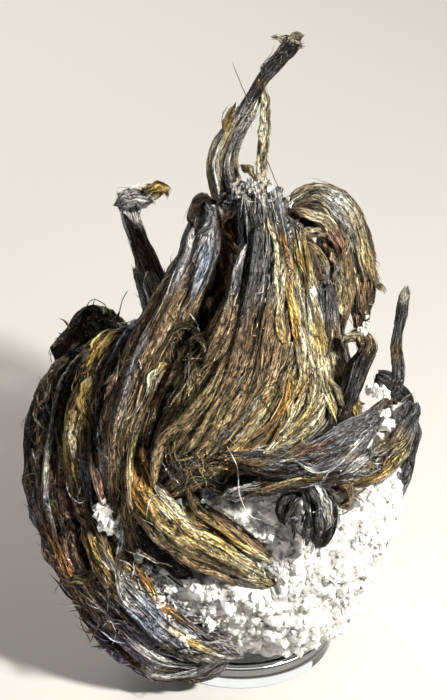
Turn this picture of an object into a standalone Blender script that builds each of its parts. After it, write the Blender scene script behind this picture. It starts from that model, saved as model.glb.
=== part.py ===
"""Native silver specimen: sheaves of wire silver swept round a lump of calcite, standing on a clear disc.

Run it with blender --background --python part.py, or from Blender's text editor.
World units are metres with +Z up, and the origin is the centre of the disc's underside.
The wires are drawn in millimetres in the specimen's own leaning frame, whose up axis tips back by LEAN:
across runs to the right, up runs along the lean and out runs from the specimen towards its front.
"""

import math

import bmesh
import bpy
import numpy as np
from mathutils import Matrix, Vector, noise

MM = 0.001

# Driving dimensions, in millimetres and degrees
LEAN = 30.0
DISC_RADIUS = 6.35
DISC_THICKNESS = 1.8
DISC_EDGE = 0.5
DISC_EDGE_STEPS = 2
DISC_SIDES = 40
GAP = 0.3  # between pieces that touch
BED_GAP = 0.55  # between a wire and the calcite it lies in, whose bed is cut with a plainer shape
BED_RIDGES = 4
SEAT_HEIGHT = DISC_THICKNESS + GAP  # the lowest point of what stands on the disc
SEAT_SIDE = 60.0  # of the slab that cuts the calcite level there
SEAT_DEPTH = 20.0
LEAST_HALF = 0.2  # no wire is thinner than this across its half width or half thickness
GROOVE_DEPTH = 0.16  # of the valleys between a wire's ridges, as a share of its half width
SHARP_EDGE = 35.0  # faces that meet at more than this are shaded as an edge

# The eye that saw the front wires: its place in the leaning frame, then the picture's size and its
# focal length in pixels
EYE_ACROSS = -1.14
EYE_UP = 19.47
EYE_OUT = 168.5
PICTURE_WIDTH = 447
PICTURE_HEIGHT = 700
FOCAL_PIXELS = 2440.0

# The calcite lump in the leaning frame: its middle, and how far it reaches each way
HEART_MIDDLE = (0.0, 9.6, 5.2)
HEART_REACH = (10.2, 10.6, 7.6)
LUMP_HEIGHT = 0.075  # as a share of the reach
LUMPS_PER_REACH = 2.3
FINE_LUMP_HEIGHT = 0.5  # of the second, finer lumps, as a share of the first
FINE_LUMPS = 2.1  # of them to each of the first
LUMP_SUBDIVISIONS = 4
OUTWARD_FROM = (-1.0, 11.0, 4.0)  # a wire's flat side faces away from this point

TARNISHED = "tarnished_silver"
GOLDEN = "golden_silver"
BRIGHT = "bright_silver"
CALCITE = "calcite"
ACRYLIC = "clear_acrylic"

# name: (red, green, blue, roughness, metallic)
FINISHES = {
    TARNISHED: (0.15, 0.13, 0.12, 0.42, 0.85),
    GOLDEN: (0.42, 0.31, 0.17, 0.38, 0.85),
    BRIGHT: (0.62, 0.58, 0.50, 0.30, 0.95),
    CALCITE: (0.88, 0.87, 0.84, 0.55, 0.0),
    ACRYLIC: (0.90, 0.94, 0.96, 0.05, 0.0),
}

OUTWARD = None  # a wire's flat side faces away from OUTWARD_FROM
FORWARD = (0.0, 0.0, 1.0)
FORWARD_AND_UP = (0.0, 0.3, 1.0)

# Wires seen from the front: finish, ridges round it, rings along it, the way its flat side faces, and
# its route. A route point is the x and y where it was picked by eye on the picture, in pixels, and then
# out, half width and half thickness in millimetres.
# A wire is cut back from those above it in the list, so the ones in front come first.
SEEN_WIRES = {
    "cross_rope": (TARNISHED, 5, 10, OUTWARD, [
        (212, 460, 14.6, 0.4, 0.5), (245, 464, 15.2, 0.5, 0.7), (280, 466, 15.6, 0.75, 0.9),
        (315, 460, 15.4, 1.0, 1.0), (345, 443, 14.6, 1.25, 1.0), (370, 422, 13.2, 0.75, 0.8),
        (388, 402, 11.9, 0.4, 0.5)]),
    "upright_wire": (TARNISHED, 3, 6, OUTWARD, [
        (393, 393, 11.4, 0.35, 0.35), (398, 376, 11.2, 0.35, 0.35), (396, 345, 11.0, 0.3, 0.3),
        (401, 315, 11.0, 0.3, 0.3), (406, 288, 11.0, 0.25, 0.3)]),
    "cross_tip": (TARNISHED, 4, 8, OUTWARD, [
        (224, 497, 14.2, 0.3, 0.3), (250, 489, 14.8, 0.5, 0.6), (280, 480, 15.2, 0.75, 0.7),
        (310, 476, 15.0, 0.75, 0.7), (340, 470, 14.2, 0.5, 0.7), (368, 452, 13.0, 0.4, 0.6)]),
    "dark_hook": (TARNISHED, 4, 8, OUTWARD, [
        (300, 490, 13.2, 0.4, 0.5), (312, 491, 14.0, 0.5, 0.6), (322, 505, 14.6, 0.75, 0.8),
        (322, 528, 14.4, 0.75, 0.8), (316, 545, 13.6, 0.5, 0.6)]),
    "dark_fan": (TARNISHED, 4, 6, OUTWARD, [
        (298, 492, 13.4, 0.4, 0.5), (291, 498, 14.0, 0.5, 0.6), (285, 508, 14.2, 0.6, 0.7),
        (286, 522, 13.9, 0.4, 0.5)]),
    "hooked_wire": (TARNISHED, 4, 9, OUTWARD, [
        (338, 422, 13.4, 0.4, 0.6), (347, 398, 13.3, 0.5, 0.7), (357, 368, 13.0, 0.6, 0.8),
        (366, 348, 12.6, 0.5, 0.7), (358, 336, 12.3, 0.4, 0.55), (346, 340, 12.3, 0.25, 0.4)]),
    "centre_sheaf": (TARNISHED, 9, 13, OUTWARD, [
        (258, 190, 10.5, 1.5, 1.4), (262, 225, 11.3, 1.5, 1.5), (265, 262, 12.0, 1.75, 1.6),
        (262, 300, 12.6, 2.25, 1.8), (253, 342, 13.1, 3.0, 2.0), (238, 385, 13.3, 3.5, 2.1),
        (213, 425, 13.2, 3.25, 2.0), (185, 458, 12.7, 2.5, 1.7), (160, 490, 12.0, 1.0, 0.8)]),
    "right_sheaf": (GOLDEN, 5, 10, OUTWARD, [
        (292, 225, 9.8, 0.5, 0.8), (297, 262, 10.6, 0.75, 1.0), (301, 300, 11.2, 1.0, 1.1),
        (306, 340, 11.8, 1.25, 1.2), (311, 378, 12.4, 1.5, 1.2), (308, 408, 13.0, 1.5, 1.1),
        (292, 430, 13.4, 1.25, 0.9), (262, 447, 13.5, 0.5, 0.6)]),
    "right_outer_sheaf": (BRIGHT, 4, 8, OUTWARD, [
        (325, 285, 8.6, 0.5, 0.7), (324, 320, 9.4, 0.75, 1.0), (328, 355, 10.2, 0.75, 1.1),
        (338, 388, 11.0, 0.75, 1.1), (348, 415, 11.6, 0.6, 0.9), (352, 432, 12.0, 0.4, 0.6)]),
    "left_sheaf": (TARNISHED, 7, 12, OUTWARD, [
        (207, 210, 9.5, 0.75, 1.0), (203, 240, 10.2, 1.25, 1.2), (191, 275, 10.7, 1.5, 1.3),
        (174, 312, 11.1, 1.75, 1.5), (156, 352, 11.3, 2.0, 1.6), (138, 392, 11.4, 2.0, 1.6),
        (126, 430, 11.2, 1.75, 1.6), (120, 470, 10.8, 1.5, 1.5), (122, 510, 10.5, 1.25, 1.3),
        (136, 548, 10.3, 0.75, 1.0), (158, 578, 10.4, 0.25, 0.4)]),
    "inner_curl": (GOLDEN, 6, 10, OUTWARD, [
        (140, 440, 11.7, 0.5, 0.8), (138, 465, 12.0, 0.75, 1.0), (147, 498, 12.5, 1.25, 1.1),
        (172, 528, 12.7, 1.25, 1.2), (205, 550, 12.3, 1.25, 1.1), (240, 568, 11.7, 1.0, 0.9),
        (276, 584, 10.9, 0.25, 0.3)]),
    "inner_strand": (TARNISHED, 3, 7, OUTWARD, [
        (190, 480, 11.4, 0.4, 0.5), (195, 500, 12.0, 0.5, 0.6), (215, 520, 12.3, 0.5, 0.6),
        (243, 539, 12.2, 0.5, 0.6), (271, 558, 11.7, 0.3, 0.4)]),
    "lower_band": (TARNISHED, 5, 9, OUTWARD, [
        (92, 525, 10.0, 0.6, 0.9), (112, 562, 10.5, 1.0, 1.1), (138, 595, 10.4, 1.25, 1.2),
        (170, 622, 9.9, 1.25, 1.2), (205, 643, 9.4, 1.0, 1.0), (240, 655, 8.8, 0.25, 0.3)]),
    "left_mid_rope": (GOLDEN, 5, 10, OUTWARD, [
        (128, 335, 9.0, 0.75, 0.9), (106, 362, 9.2, 1.0, 1.1), (90, 400, 9.3, 1.25, 1.2),
        (84, 440, 9.3, 1.25, 1.3), (88, 480, 9.3, 1.25, 1.3), (100, 520, 9.3, 1.0, 1.1),
        (120, 560, 9.2, 0.4, 0.5)]),
    "lower_outer_band": (TARNISHED, 5, 9, OUTWARD, [
        (66, 525, 8.8, 0.75, 0.9), (84, 562, 8.9, 1.0, 1.2), (108, 600, 8.8, 1.25, 1.3),
        (138, 632, 8.4, 1.25, 1.3), (172, 655, 8.0, 1.0, 1.1), (214, 662, 7.7, 0.3, 0.4)]),
    "left_edge_rope": (TARNISHED, 6, 10, OUTWARD, [
        (75, 360, 5.8, 1.25, 0.9), (58, 400, 5.9, 2.0, 1.3), (50, 440, 6.2, 2.5, 1.5),
        (50, 480, 6.6, 2.25, 1.5), (58, 520, 6.8, 2.0, 1.4), (72, 560, 6.8, 1.5, 1.3),
        (94, 595, 6.6, 1.0, 1.0)]),
    "lower_rim": (TARNISHED, 5, 9, OUTWARD, [
        (74, 582, 5.6, 0.6, 0.6), (100, 613, 5.9, 1.0, 1.1), (130, 643, 6.2, 1.25, 1.2),
        (163, 663, 6.6, 1.25, 1.1), (198, 666, 7.0, 0.75, 0.9), (230, 655, 7.3, 0.3, 0.4)]),
    "right_rough_rope": (BRIGHT, 4, 8, OUTWARD, [
        (334, 492, 12.6, 0.5, 0.7), (362, 477, 11.9, 1.0, 0.9), (388, 457, 10.2, 1.0, 1.0),
        (405, 428, 8.0, 0.75, 0.9), (412, 404, 6.2, 0.4, 0.6)]),
    "gap_strand": (GOLDEN, 4, 7, OUTWARD, [
        (234, 212, 8.0, 0.5, 0.7), (228, 242, 8.2, 0.75, 0.8), (223, 277, 8.5, 0.75, 0.9),
        (217, 314, 8.9, 0.5, 0.8), (214, 348, 9.2, 0.4, 0.6)]),
    "left_blade": (BRIGHT, 3, 5, OUTWARD, [
        (150, 316, 8.4, 0.3, 0.25), (143, 292, 7.6, 0.3, 0.25), (136, 268, 7.0, 0.2, 0.2)]),
    "back_curl_plate": (BRIGHT, 4, 7, OUTWARD, [
        (290, 243, 6.9, 0.6, 0.8), (308, 258, 6.8, 1.0, 0.9), (319, 288, 6.9, 1.0, 0.9),
        (322, 324, 7.4, 0.6, 0.7)]),
    "back_curl_inner": (BRIGHT, 5, 11, FORWARD_AND_UP, [
        (289, 232, 4.8, 0.6, 0.8), (302, 216, 4.8, 1.0, 1.0), (322, 220, 4.6, 1.0, 1.1),
        (334, 245, 4.4, 1.0, 1.1), (340, 275, 4.4, 1.0, 1.1), (341, 305, 4.8, 0.75, 1.0),
        (338, 335, 5.6, 0.4, 0.6)]),
    "back_curl_outer": (BRIGHT, 5, 11, FORWARD_AND_UP, [
        (286, 224, 2.4, 0.6, 0.7), (304, 203, 2.2, 1.0, 1.0), (331, 203, 2.0, 1.0, 1.1),
        (350, 227, 1.8, 1.0, 1.1), (360, 260, 1.8, 1.0, 1.1), (362, 296, 2.2, 0.75, 1.0),
        (359, 333, 3.2, 0.4, 0.6)]),
    "right_loop": (BRIGHT, 4, 9, OUTWARD, [
        (378, 374, 3.6, 0.5, 0.6), (396, 396, 3.0, 0.75, 0.8), (405, 430, 2.7, 0.75, 0.9),
        (399, 464, 3.1, 0.75, 0.9), (387, 494, 4.0, 0.6, 0.8), (374, 522, 5.0, 0.4, 0.5)]),
    "top_wire": (TARNISHED, 5, 12, FORWARD, [
        (234, 226, 5.2, 1.0, 0.9), (231, 200, 5.2, 1.1, 1.0), (223, 173, 5.0, 1.0, 0.9),
        (225, 148, 4.6, 0.9, 0.8), (240, 122, 4.2, 0.7, 0.6), (254, 96, 3.8, 0.5, 0.5),
        (264, 77, 3.6, 0.4, 0.4), (281, 58, 3.4, 0.45, 0.4), (298, 38, 3.2, 0.35, 0.35)]),
    "gold_wire": (GOLDEN, 3, 6, FORWARD, [
        (263, 213, 6.2, 0.25, 0.25), (261, 188, 5.6, 0.25, 0.25), (262, 158, 4.8, 0.3, 0.25),
        (265, 127, 4.2, 0.25, 0.2), (266, 102, 3.8, 0.2, 0.2)]),
    "left_curl": (TARNISHED, 4, 12, FORWARD, [
        (163, 335, 4.6, 1.0, 1.0), (157, 298, 3.8, 1.0, 0.9), (149, 268, 3.1, 0.75, 0.8),
        (139, 240, 2.6, 0.6, 0.7), (131, 217, 2.4, 0.6, 0.6), (132, 201, 2.8, 0.75, 0.6),
        (146, 193, 3.3, 0.6, 0.6), (162, 191, 3.6, 0.4, 0.4)]),
    "left_tangle": (TARNISHED, 4, 9, OUTWARD, [
        (135, 350, 4.6, 0.75, 0.8), (111, 330, 3.9, 1.0, 0.9), (90, 322, 3.3, 1.0, 0.9),
        (73, 339, 3.1, 0.75, 0.8), (56, 363, 3.2, 0.4, 0.5)]),
}

# Wires on the side that the picture doesn't show, in the same form, but with across and up in millimetres
HIDDEN_WIRES = {
    "back_left_rope": (TARNISHED, 6, 9, OUTWARD, [
        (-3.0, 25.5, 6.5, 0.8, 0.8), (-4.5, 23.0, 4.5, 1.1, 1.0), (-6.5, 20.0, 2.0, 1.5, 1.2),
        (-9.0, 16.5, 1.0, 1.8, 1.3), (-10.0, 13.0, 1.0, 1.9, 1.3), (-10.0, 9.0, 1.5, 1.8, 1.3),
        (-9.0, 5.5, 2.5, 1.5, 1.2), (-7.5, 2.5, 3.5, 1.0, 0.9)]),
    "back_centre_sheaf": (GOLDEN, 7, 9, OUTWARD, [
        (1.0, 27.0, 7.0, 1.0, 0.9), (1.0, 24.5, 4.0, 1.3, 1.1), (0.5, 21.0, 1.0, 1.9, 1.4),
        (-1.0, 17.0, -1.0, 2.4, 1.5), (-3.0, 13.0, -2.0, 2.6, 1.6), (-4.5, 9.0, -2.0, 2.4, 1.5),
        (-4.5, 5.5, -0.5, 1.9, 1.3), (-3.5, 2.5, 2.0, 1.1, 0.9)]),
    "back_right_rope": (TARNISHED, 6, 9, OUTWARD, [
        (3.5, 26.0, 5.5, 0.8, 0.8), (4.5, 23.0, 3.0, 1.1, 1.0), (6.0, 20.0, 1.0, 1.6, 1.2),
        (6.0, 16.5, -1.0, 2.0, 1.4), (5.5, 12.5, -2.0, 2.2, 1.4), (4.0, 8.5, -2.0, 2.1, 1.4),
        (2.0, 5.5, -1.0, 1.7, 1.2), (0.5, 3.0, 1.0, 1.0, 0.9)]),
}

# Calcite crystals on the lump's front: x and y where each was picked on the picture, and its edge length
CRYSTALS = [
    (110, 522, 1.3), (246, 522, 1.2), (268, 534, 1.0), (292, 563, 1.4), (342, 517, 1.5), (366, 494, 1.3),
    (374, 536, 1.5), (340, 570, 1.3), (308, 604, 1.2), (256, 602, 1.3), (272, 632, 1.1), (230, 606, 1.1),
    (196, 588, 1.3), (384, 420, 1.2),
]
CRYSTAL_SHEAR = 0.25  # how far a calcite cleavage block leans over, as a share of its edge
CRYSTAL_TURN = 1.3  # each block is turned by this much more than the one before, in radians
CRYSTAL_TIP = 0.9


def leaning_to_world(points):
    """World metres of points in the leaning frame: up and out are turned back about the across axis."""
    across, up, out = np.moveaxis(np.asarray(points, float), -1, 0)
    lean = math.radians(LEAN)
    back = up * math.sin(lean) - out * math.cos(lean)
    height = up * math.cos(lean) + out * math.sin(lean)
    return np.stack([across, back, height], axis=-1) * MM


def seen_at(x, y, out):
    """Across and up of the point that is seen at a picture pixel and lies this far out."""
    millimetres_a_pixel = (EYE_OUT - out) / FOCAL_PIXELS
    across = EYE_ACROSS + (x - PICTURE_WIDTH / 2) * millimetres_a_pixel
    up = EYE_UP + (PICTURE_HEIGHT / 2 - y) * millimetres_a_pixel
    return across, up


def placed(route):
    """A seen route with its pixels turned into millimetres."""
    return [(*seen_at(x, y, out), out, *sizes) for x, y, out, *sizes in route]


def unit(vectors):
    return vectors / np.linalg.norm(vectors, axis=-1, keepdims=True)


def smooth_route(route, count):
    """Evenly spaced samples of the Catmull-Rom curve through the route's points and sizes."""
    knots = np.array(route, float)
    knots = np.vstack([2 * knots[0] - knots[1], knots, 2 * knots[-1] - knots[-2]])
    place = np.linspace(0, len(route) - 1, count)
    first = np.minimum(place.astype(int), len(route) - 2)
    t = (place - first)[:, None]
    a, b, c, d = (knots[first + k] for k in range(4))
    return 0.5 * (2 * b + (c - a) * t + (2 * a - 5 * b + 4 * c - d) * t**2 + (3 * b - a - 3 * c + d) * t**3)


def wire_sections(route, ridges, rings, facing, grow):
    """Oval sections along a route, ridged all round. A grown one is plain, wider and longer, for a cutter."""
    samples = smooth_route(route, rings)
    middle = samples[:, :3]
    half_width = np.maximum(samples[:, 3:4], LEAST_HALF) + grow
    half_thickness = np.maximum(samples[:, 4:5], LEAST_HALF) + grow
    along = unit(np.gradient(middle, axis=0))
    middle[0] -= along[0] * grow
    middle[-1] += along[-1] * grow
    outward = middle - np.array(OUTWARD_FROM) if facing is OUTWARD else np.tile(facing, (rings, 1))
    outward = unit(outward - (outward * along).sum(axis=1, keepdims=True) * along)
    sideways = np.cross(along, outward)
    step = np.arange(2 * ridges)
    turn = 2 * np.pi * step / len(step)
    depth = np.ones(len(step)) if grow else 1 - GROOVE_DEPTH * (step % 2)
    wide = (depth * np.cos(turn))[None, :, None] * half_width[:, None] * sideways[:, None]
    thick = (depth * np.sin(turn))[None, :, None] * half_thickness[:, None] * outward[:, None]
    return middle[:, None] + wide + thick


def finished(name, mesh):
    data = bpy.data.meshes.new(name)
    mesh.to_mesh(data)
    mesh.free()
    return bpy.data.objects.new(name, data)


def loft(name, sections):
    """A closed mesh object skinned over the sections, with its two ends capped."""
    points = leaning_to_world(sections)
    mesh = bmesh.new()
    loops = [[mesh.verts.new(point) for point in section] for section in points]
    for near, far in zip(loops, loops[1:]):
        for k in range(len(near)):
            mesh.faces.new((near[k - 1], near[k], far[k], far[k - 1]))
    mesh.faces.new(loops[0])
    mesh.faces.new(loops[-1])
    bmesh.ops.recalc_face_normals(mesh, faces=mesh.faces)
    bmesh.ops.triangulate(mesh, faces=mesh.faces)
    return finished(name, mesh)


def make_disc(name, grow=0.0):
    """The clear disc: a short cylinder with a rounded top edge."""
    radius, top = DISC_RADIUS + grow, DISC_THICKNESS + grow
    mesh = bmesh.new()
    bmesh.ops.create_cone(
        mesh, cap_ends=True, segments=DISC_SIDES, radius1=radius * MM, radius2=radius * MM, depth=top * MM,
        matrix=Matrix.Translation((0, 0, top * MM / 2)))
    rim = [edge for edge in mesh.edges if all(vertex.co.z > top * MM / 2 for vertex in edge.verts)]
    bmesh.ops.bevel(
        mesh, geom=rim, offset=DISC_EDGE * MM, segments=DISC_EDGE_STEPS, profile=0.5, affect="EDGES")
    return finished(name, mesh)


def heart_front(across, up):
    """How far out the calcite lump's front lies at a point of the leaning plane."""
    sideways = (across - HEART_MIDDLE[0]) / HEART_REACH[0]
    upwards = (up - HEART_MIDDLE[1]) / HEART_REACH[1]
    return HEART_MIDDLE[2] + HEART_REACH[2] * math.sqrt(max(0.0, 1 - sideways**2 - upwards**2))


def make_calcite(name):
    """The lump: an egg with a knobbly skin. Its radius swells and shrinks with a slow noise."""
    mesh = bmesh.new()
    bmesh.ops.create_icosphere(mesh, subdivisions=LUMP_SUBDIVISIONS, radius=1.0)
    for vertex in mesh.verts:
        coarse = noise.noise(vertex.co * LUMPS_PER_REACH)
        fine = noise.noise(vertex.co * LUMPS_PER_REACH * FINE_LUMPS)
        knob = coarse + FINE_LUMP_HEIGHT * fine
        swollen = vertex.co * (1 + LUMP_HEIGHT * knob)
        egg = [middle + reach * side for middle, reach, side in zip(HEART_MIDDLE, HEART_REACH, swollen)]
        vertex.co = leaning_to_world(egg)
    return finished(name, mesh)


def make_crystal(number, x, y, edge):
    """A calcite cleavage block: a cube leaning over two ways, half sunk in the lump's front."""
    mesh = bmesh.new()
    bmesh.ops.create_cube(mesh, size=edge * MM)
    lean_over = Matrix(((1, CRYSTAL_SHEAR, CRYSTAL_SHEAR), (0, 1, CRYSTAL_SHEAR), (0, 0, 1)))
    turn = Matrix.Rotation(CRYSTAL_TURN * number, 3, "Z")
    tip = Matrix.Rotation(CRYSTAL_TIP * (number + 1), 3, "X")
    bmesh.ops.transform(mesh, matrix=(turn @ tip @ lean_over).to_4x4(), verts=mesh.verts)
    out = heart_front(*seen_at(x, y, HEART_MIDDLE[2] + HEART_REACH[2]))
    across, up = seen_at(x, y, out)
    bmesh.ops.translate(mesh, vec=Vector(leaning_to_world((across, up, out))), verts=mesh.verts)
    return finished(f"crystal_{number}", mesh)


def make_seat():
    """A slab that cuts the specimen's underside off level, just above the disc."""
    mesh = bmesh.new()
    bmesh.ops.create_cube(mesh, size=1.0)
    bmesh.ops.scale(mesh, vec=(SEAT_SIDE * MM, SEAT_SIDE * MM, SEAT_DEPTH * MM), verts=mesh.verts)
    bmesh.ops.translate(mesh, vec=(0, 0, (SEAT_HEIGHT - SEAT_DEPTH / 2) * MM), verts=mesh.verts)
    return finished("seat_cutter", mesh)


def bounds(thing):
    corners = np.array([vertex.co for vertex in thing.data.vertices])
    return corners.min(axis=0), corners.max(axis=0)


def boxes_meet(one, other):
    (low, high), (other_low, other_high) = bounds(one), bounds(other)
    return bool(np.all(low < other_high) and np.all(other_low < high))


def islands_of(mesh):
    """The mesh's separate bodies, as sets of vertices."""
    waiting, islands = set(mesh.verts), []
    while waiting:
        island, edge_of = set(), [waiting.pop()]
        while edge_of:
            vertex = edge_of.pop()
            island.add(vertex)
            near = {edge.other_vert(vertex) for edge in vertex.link_edges} & waiting
            waiting -= near
            edge_of.extend(near)
        islands.append(island)
    return islands


def box_size(vertices):
    corners = np.array([vertex.co for vertex in vertices])
    return float(np.prod(np.ptp(corners, axis=0)))


def keep_largest(piece):
    """Deletes the crumbs that a cut leaves, so that the piece is one body."""
    mesh = bmesh.new()
    mesh.from_mesh(piece.data)
    largest = max(islands_of(mesh), key=box_size)
    bmesh.ops.delete(mesh, geom=[vertex for vertex in mesh.verts if vertex not in largest], context="VERTS")
    mesh.to_mesh(piece.data)
    mesh.free()


def combine(piece, others, operation):
    """Joins the others to the piece, or cuts them from it, and keeps the result as the piece's own mesh."""
    for other in others:
        if boxes_meet(piece, other):
            boolean = piece.modifiers.new(other.name, "BOOLEAN")
            boolean.operation = operation
            boolean.object = other
    evaluated = piece.evaluated_get(bpy.context.evaluated_depsgraph_get())
    piece.data = bpy.data.meshes.new_from_object(evaluated)
    piece.modifiers.clear()
    keep_largest(piece)


def make_material(name):
    red, green, blue, roughness, metallic = FINISHES[name]
    material = bpy.data.materials.new(name)
    material.use_nodes = True
    shader = material.node_tree.nodes["Principled BSDF"]
    shader.inputs["Base Color"].default_value = (red, green, blue, 1.0)
    shader.inputs["Roughness"].default_value = roughness
    shader.inputs["Metallic"].default_value = metallic
    return material


def paint(piece, material):
    piece.data.materials.clear()
    piece.data.materials.append(material)
    piece.data.shade_smooth()
    piece.data.set_sharp_from_angle(angle=math.radians(SHARP_EDGE))


def new_collection(name):
    collection = bpy.data.collections.new(name)
    bpy.context.scene.collection.children.link(collection)
    return collection


def as_cutter(cutter, collection):
    cutter.hide_render = True
    cutter.display_type = "WIRE"
    collection.objects.link(cutter)
    return cutter


def main():
    for thing in list(bpy.data.objects):
        bpy.data.objects.remove(thing)
    specimen = new_collection("native_silver_specimen")
    tools = new_collection("cutters")
    materials = {name: make_material(name) for name in FINISHES}

    disc = make_disc("display_disc")
    specimen.objects.link(disc)
    paint(disc, materials[ACRYLIC])
    cutters = [as_cutter(make_disc("disc_cutter", GAP), tools)]

    wires = {name: (*form, placed(route)) for name, (*form, route) in SEEN_WIRES.items()}
    wires.update(HIDDEN_WIRES)
    for name, (finish, ridges, rings, facing, route) in wires.items():
        wire = loft(name, wire_sections(route, ridges, rings, facing, 0.0))
        specimen.objects.link(wire)
        combine(wire, cutters, "DIFFERENCE")
        paint(wire, materials[finish])
        grown = loft(f"{name}_cutter", wire_sections(route, ridges, rings, facing, GAP))
        cutters.append(as_cutter(grown, tools))

    lump = make_calcite("calcite_matrix")
    specimen.objects.link(lump)
    crystals = [as_cutter(make_crystal(number, *crystal), tools) for number, crystal in enumerate(CRYSTALS)]
    combine(lump, crystals, "UNION")
    cutters = [as_cutter(make_seat(), tools)]
    for name, (finish, ridges, rings, facing, route) in wires.items():
        bed = loft(f"{name}_bed", wire_sections(route, BED_RIDGES, rings // 2 + 1, facing, BED_GAP))
        cutters.append(as_cutter(bed, tools))
    combine(lump, cutters, "DIFFERENCE")
    paint(lump, materials[CALCITE])


main()
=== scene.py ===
"""Native silver specimen: the looks of the wires, the calcite and the clear disc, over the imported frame.

Each wire is a numpy surface: an oval carried along the wire's route, ridged along its length, with strands,
splinters and hairs laid on it. Routes are drawn in the specimen's own leaning frame, in millimetres: across
runs to the right, up runs along the lean and out runs towards the front.
"""

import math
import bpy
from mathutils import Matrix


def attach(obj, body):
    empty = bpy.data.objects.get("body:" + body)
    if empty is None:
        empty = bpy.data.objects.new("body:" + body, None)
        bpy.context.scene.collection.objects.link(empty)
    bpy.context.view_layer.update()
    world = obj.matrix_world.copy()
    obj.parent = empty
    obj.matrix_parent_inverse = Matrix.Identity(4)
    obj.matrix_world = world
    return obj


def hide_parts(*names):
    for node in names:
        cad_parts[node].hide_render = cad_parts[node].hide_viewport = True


bl_info = {
    "name": "Native silver specimen",
    "version": (1, 0, 0),
    "blender": (4, 5, 0),
    "location": "View3D > Sidebar > Specimen",
    "description": "Wire silver swept round a lump of white calcite, standing on a clear disc",
    "category": "Object",
}

import bpy
import numpy as np
from mathutils import Matrix, Vector

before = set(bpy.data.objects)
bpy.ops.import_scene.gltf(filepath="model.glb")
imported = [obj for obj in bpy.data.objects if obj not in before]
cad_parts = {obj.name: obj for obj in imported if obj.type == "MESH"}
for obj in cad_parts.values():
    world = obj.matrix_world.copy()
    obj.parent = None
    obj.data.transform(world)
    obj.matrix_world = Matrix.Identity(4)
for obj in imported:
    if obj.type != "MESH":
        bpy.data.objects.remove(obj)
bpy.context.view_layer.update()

MM = 0.001

# The specimen's lean, in degrees, and the eye that saw it: its place in the leaning frame in millimetres,
# the picture's size and its focal length in pixels
LEAN = 30.0
EYE_ACROSS = -1.14
EYE_UP = 19.47
EYE_OUT = 168.5
PICTURE_WIDTH = 447
PICTURE_HEIGHT = 700
FOCAL_PIXELS = 2440.0

# Driving dimensions, in millimetres
DISC_RADIUS = 6.35
DISC_THICKNESS = 1.8
DISC_FOOT = (0.15, 0.04)  # how far the disc's lower edge is rounded, as two steps in from its side
DISC_EDGE_RINGS = 9
DISC_AROUND = 144
FLOOR_GAP = 0.02  # the air under the disc
JITTER = 0.014  # how far the points of a skin stray up and down
SEAT_HEIGHT = 2.1
HEART_MIDDLE = (0.0, 9.6, 5.2)
HEART_REACH = (10.2, 10.6, 7.6)
OUTWARD_FROM = (-1.0, 11.0, 4.0)
LEAST_HALF = 0.2
ROUTE_SAMPLES = 160
RING_STEP = 0.19  # between the rings of a wire's skin
SIDE_STEP = 0.15  # between the points of one ring, on average
OUTSET = 0.08  # how far a skin's flat parts stand outside the wire's oval
CROWDING = 0.6  # how far a ring's points crowd towards its outward side, from 0 to 1
END_ROUNDING = 0.6  # the length over which a wire's end closes
END_OPENING = 0.08  # how open the very end of a skin is, as a square of its width
END_RAGGED = 0.7  # how far its broken end reaches and falls short
RAGGED_WIDTH = 0.3  # width of one tooth of a broken end
LEAST_RINGS = 12
HEART_AROUND = 260  # points round the calcite lump
HEART_LEVELS = 110  # and rings from its foot to its top
CAMERA_SENSOR = 36.0
CLIP_START = 0.01  # nearest that the camera sees, in metres

TARNISHED = "tarnished_silver"
GOLDEN = "golden_silver"
BRIGHT = "bright_silver"

OUTWARD = None  # a wire's flat side faces away from OUTWARD_FROM
FORWARD = (0.0, 0.0, 1.0)
FORWARD_AND_UP = (0.0, 0.3, 1.0)

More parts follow.
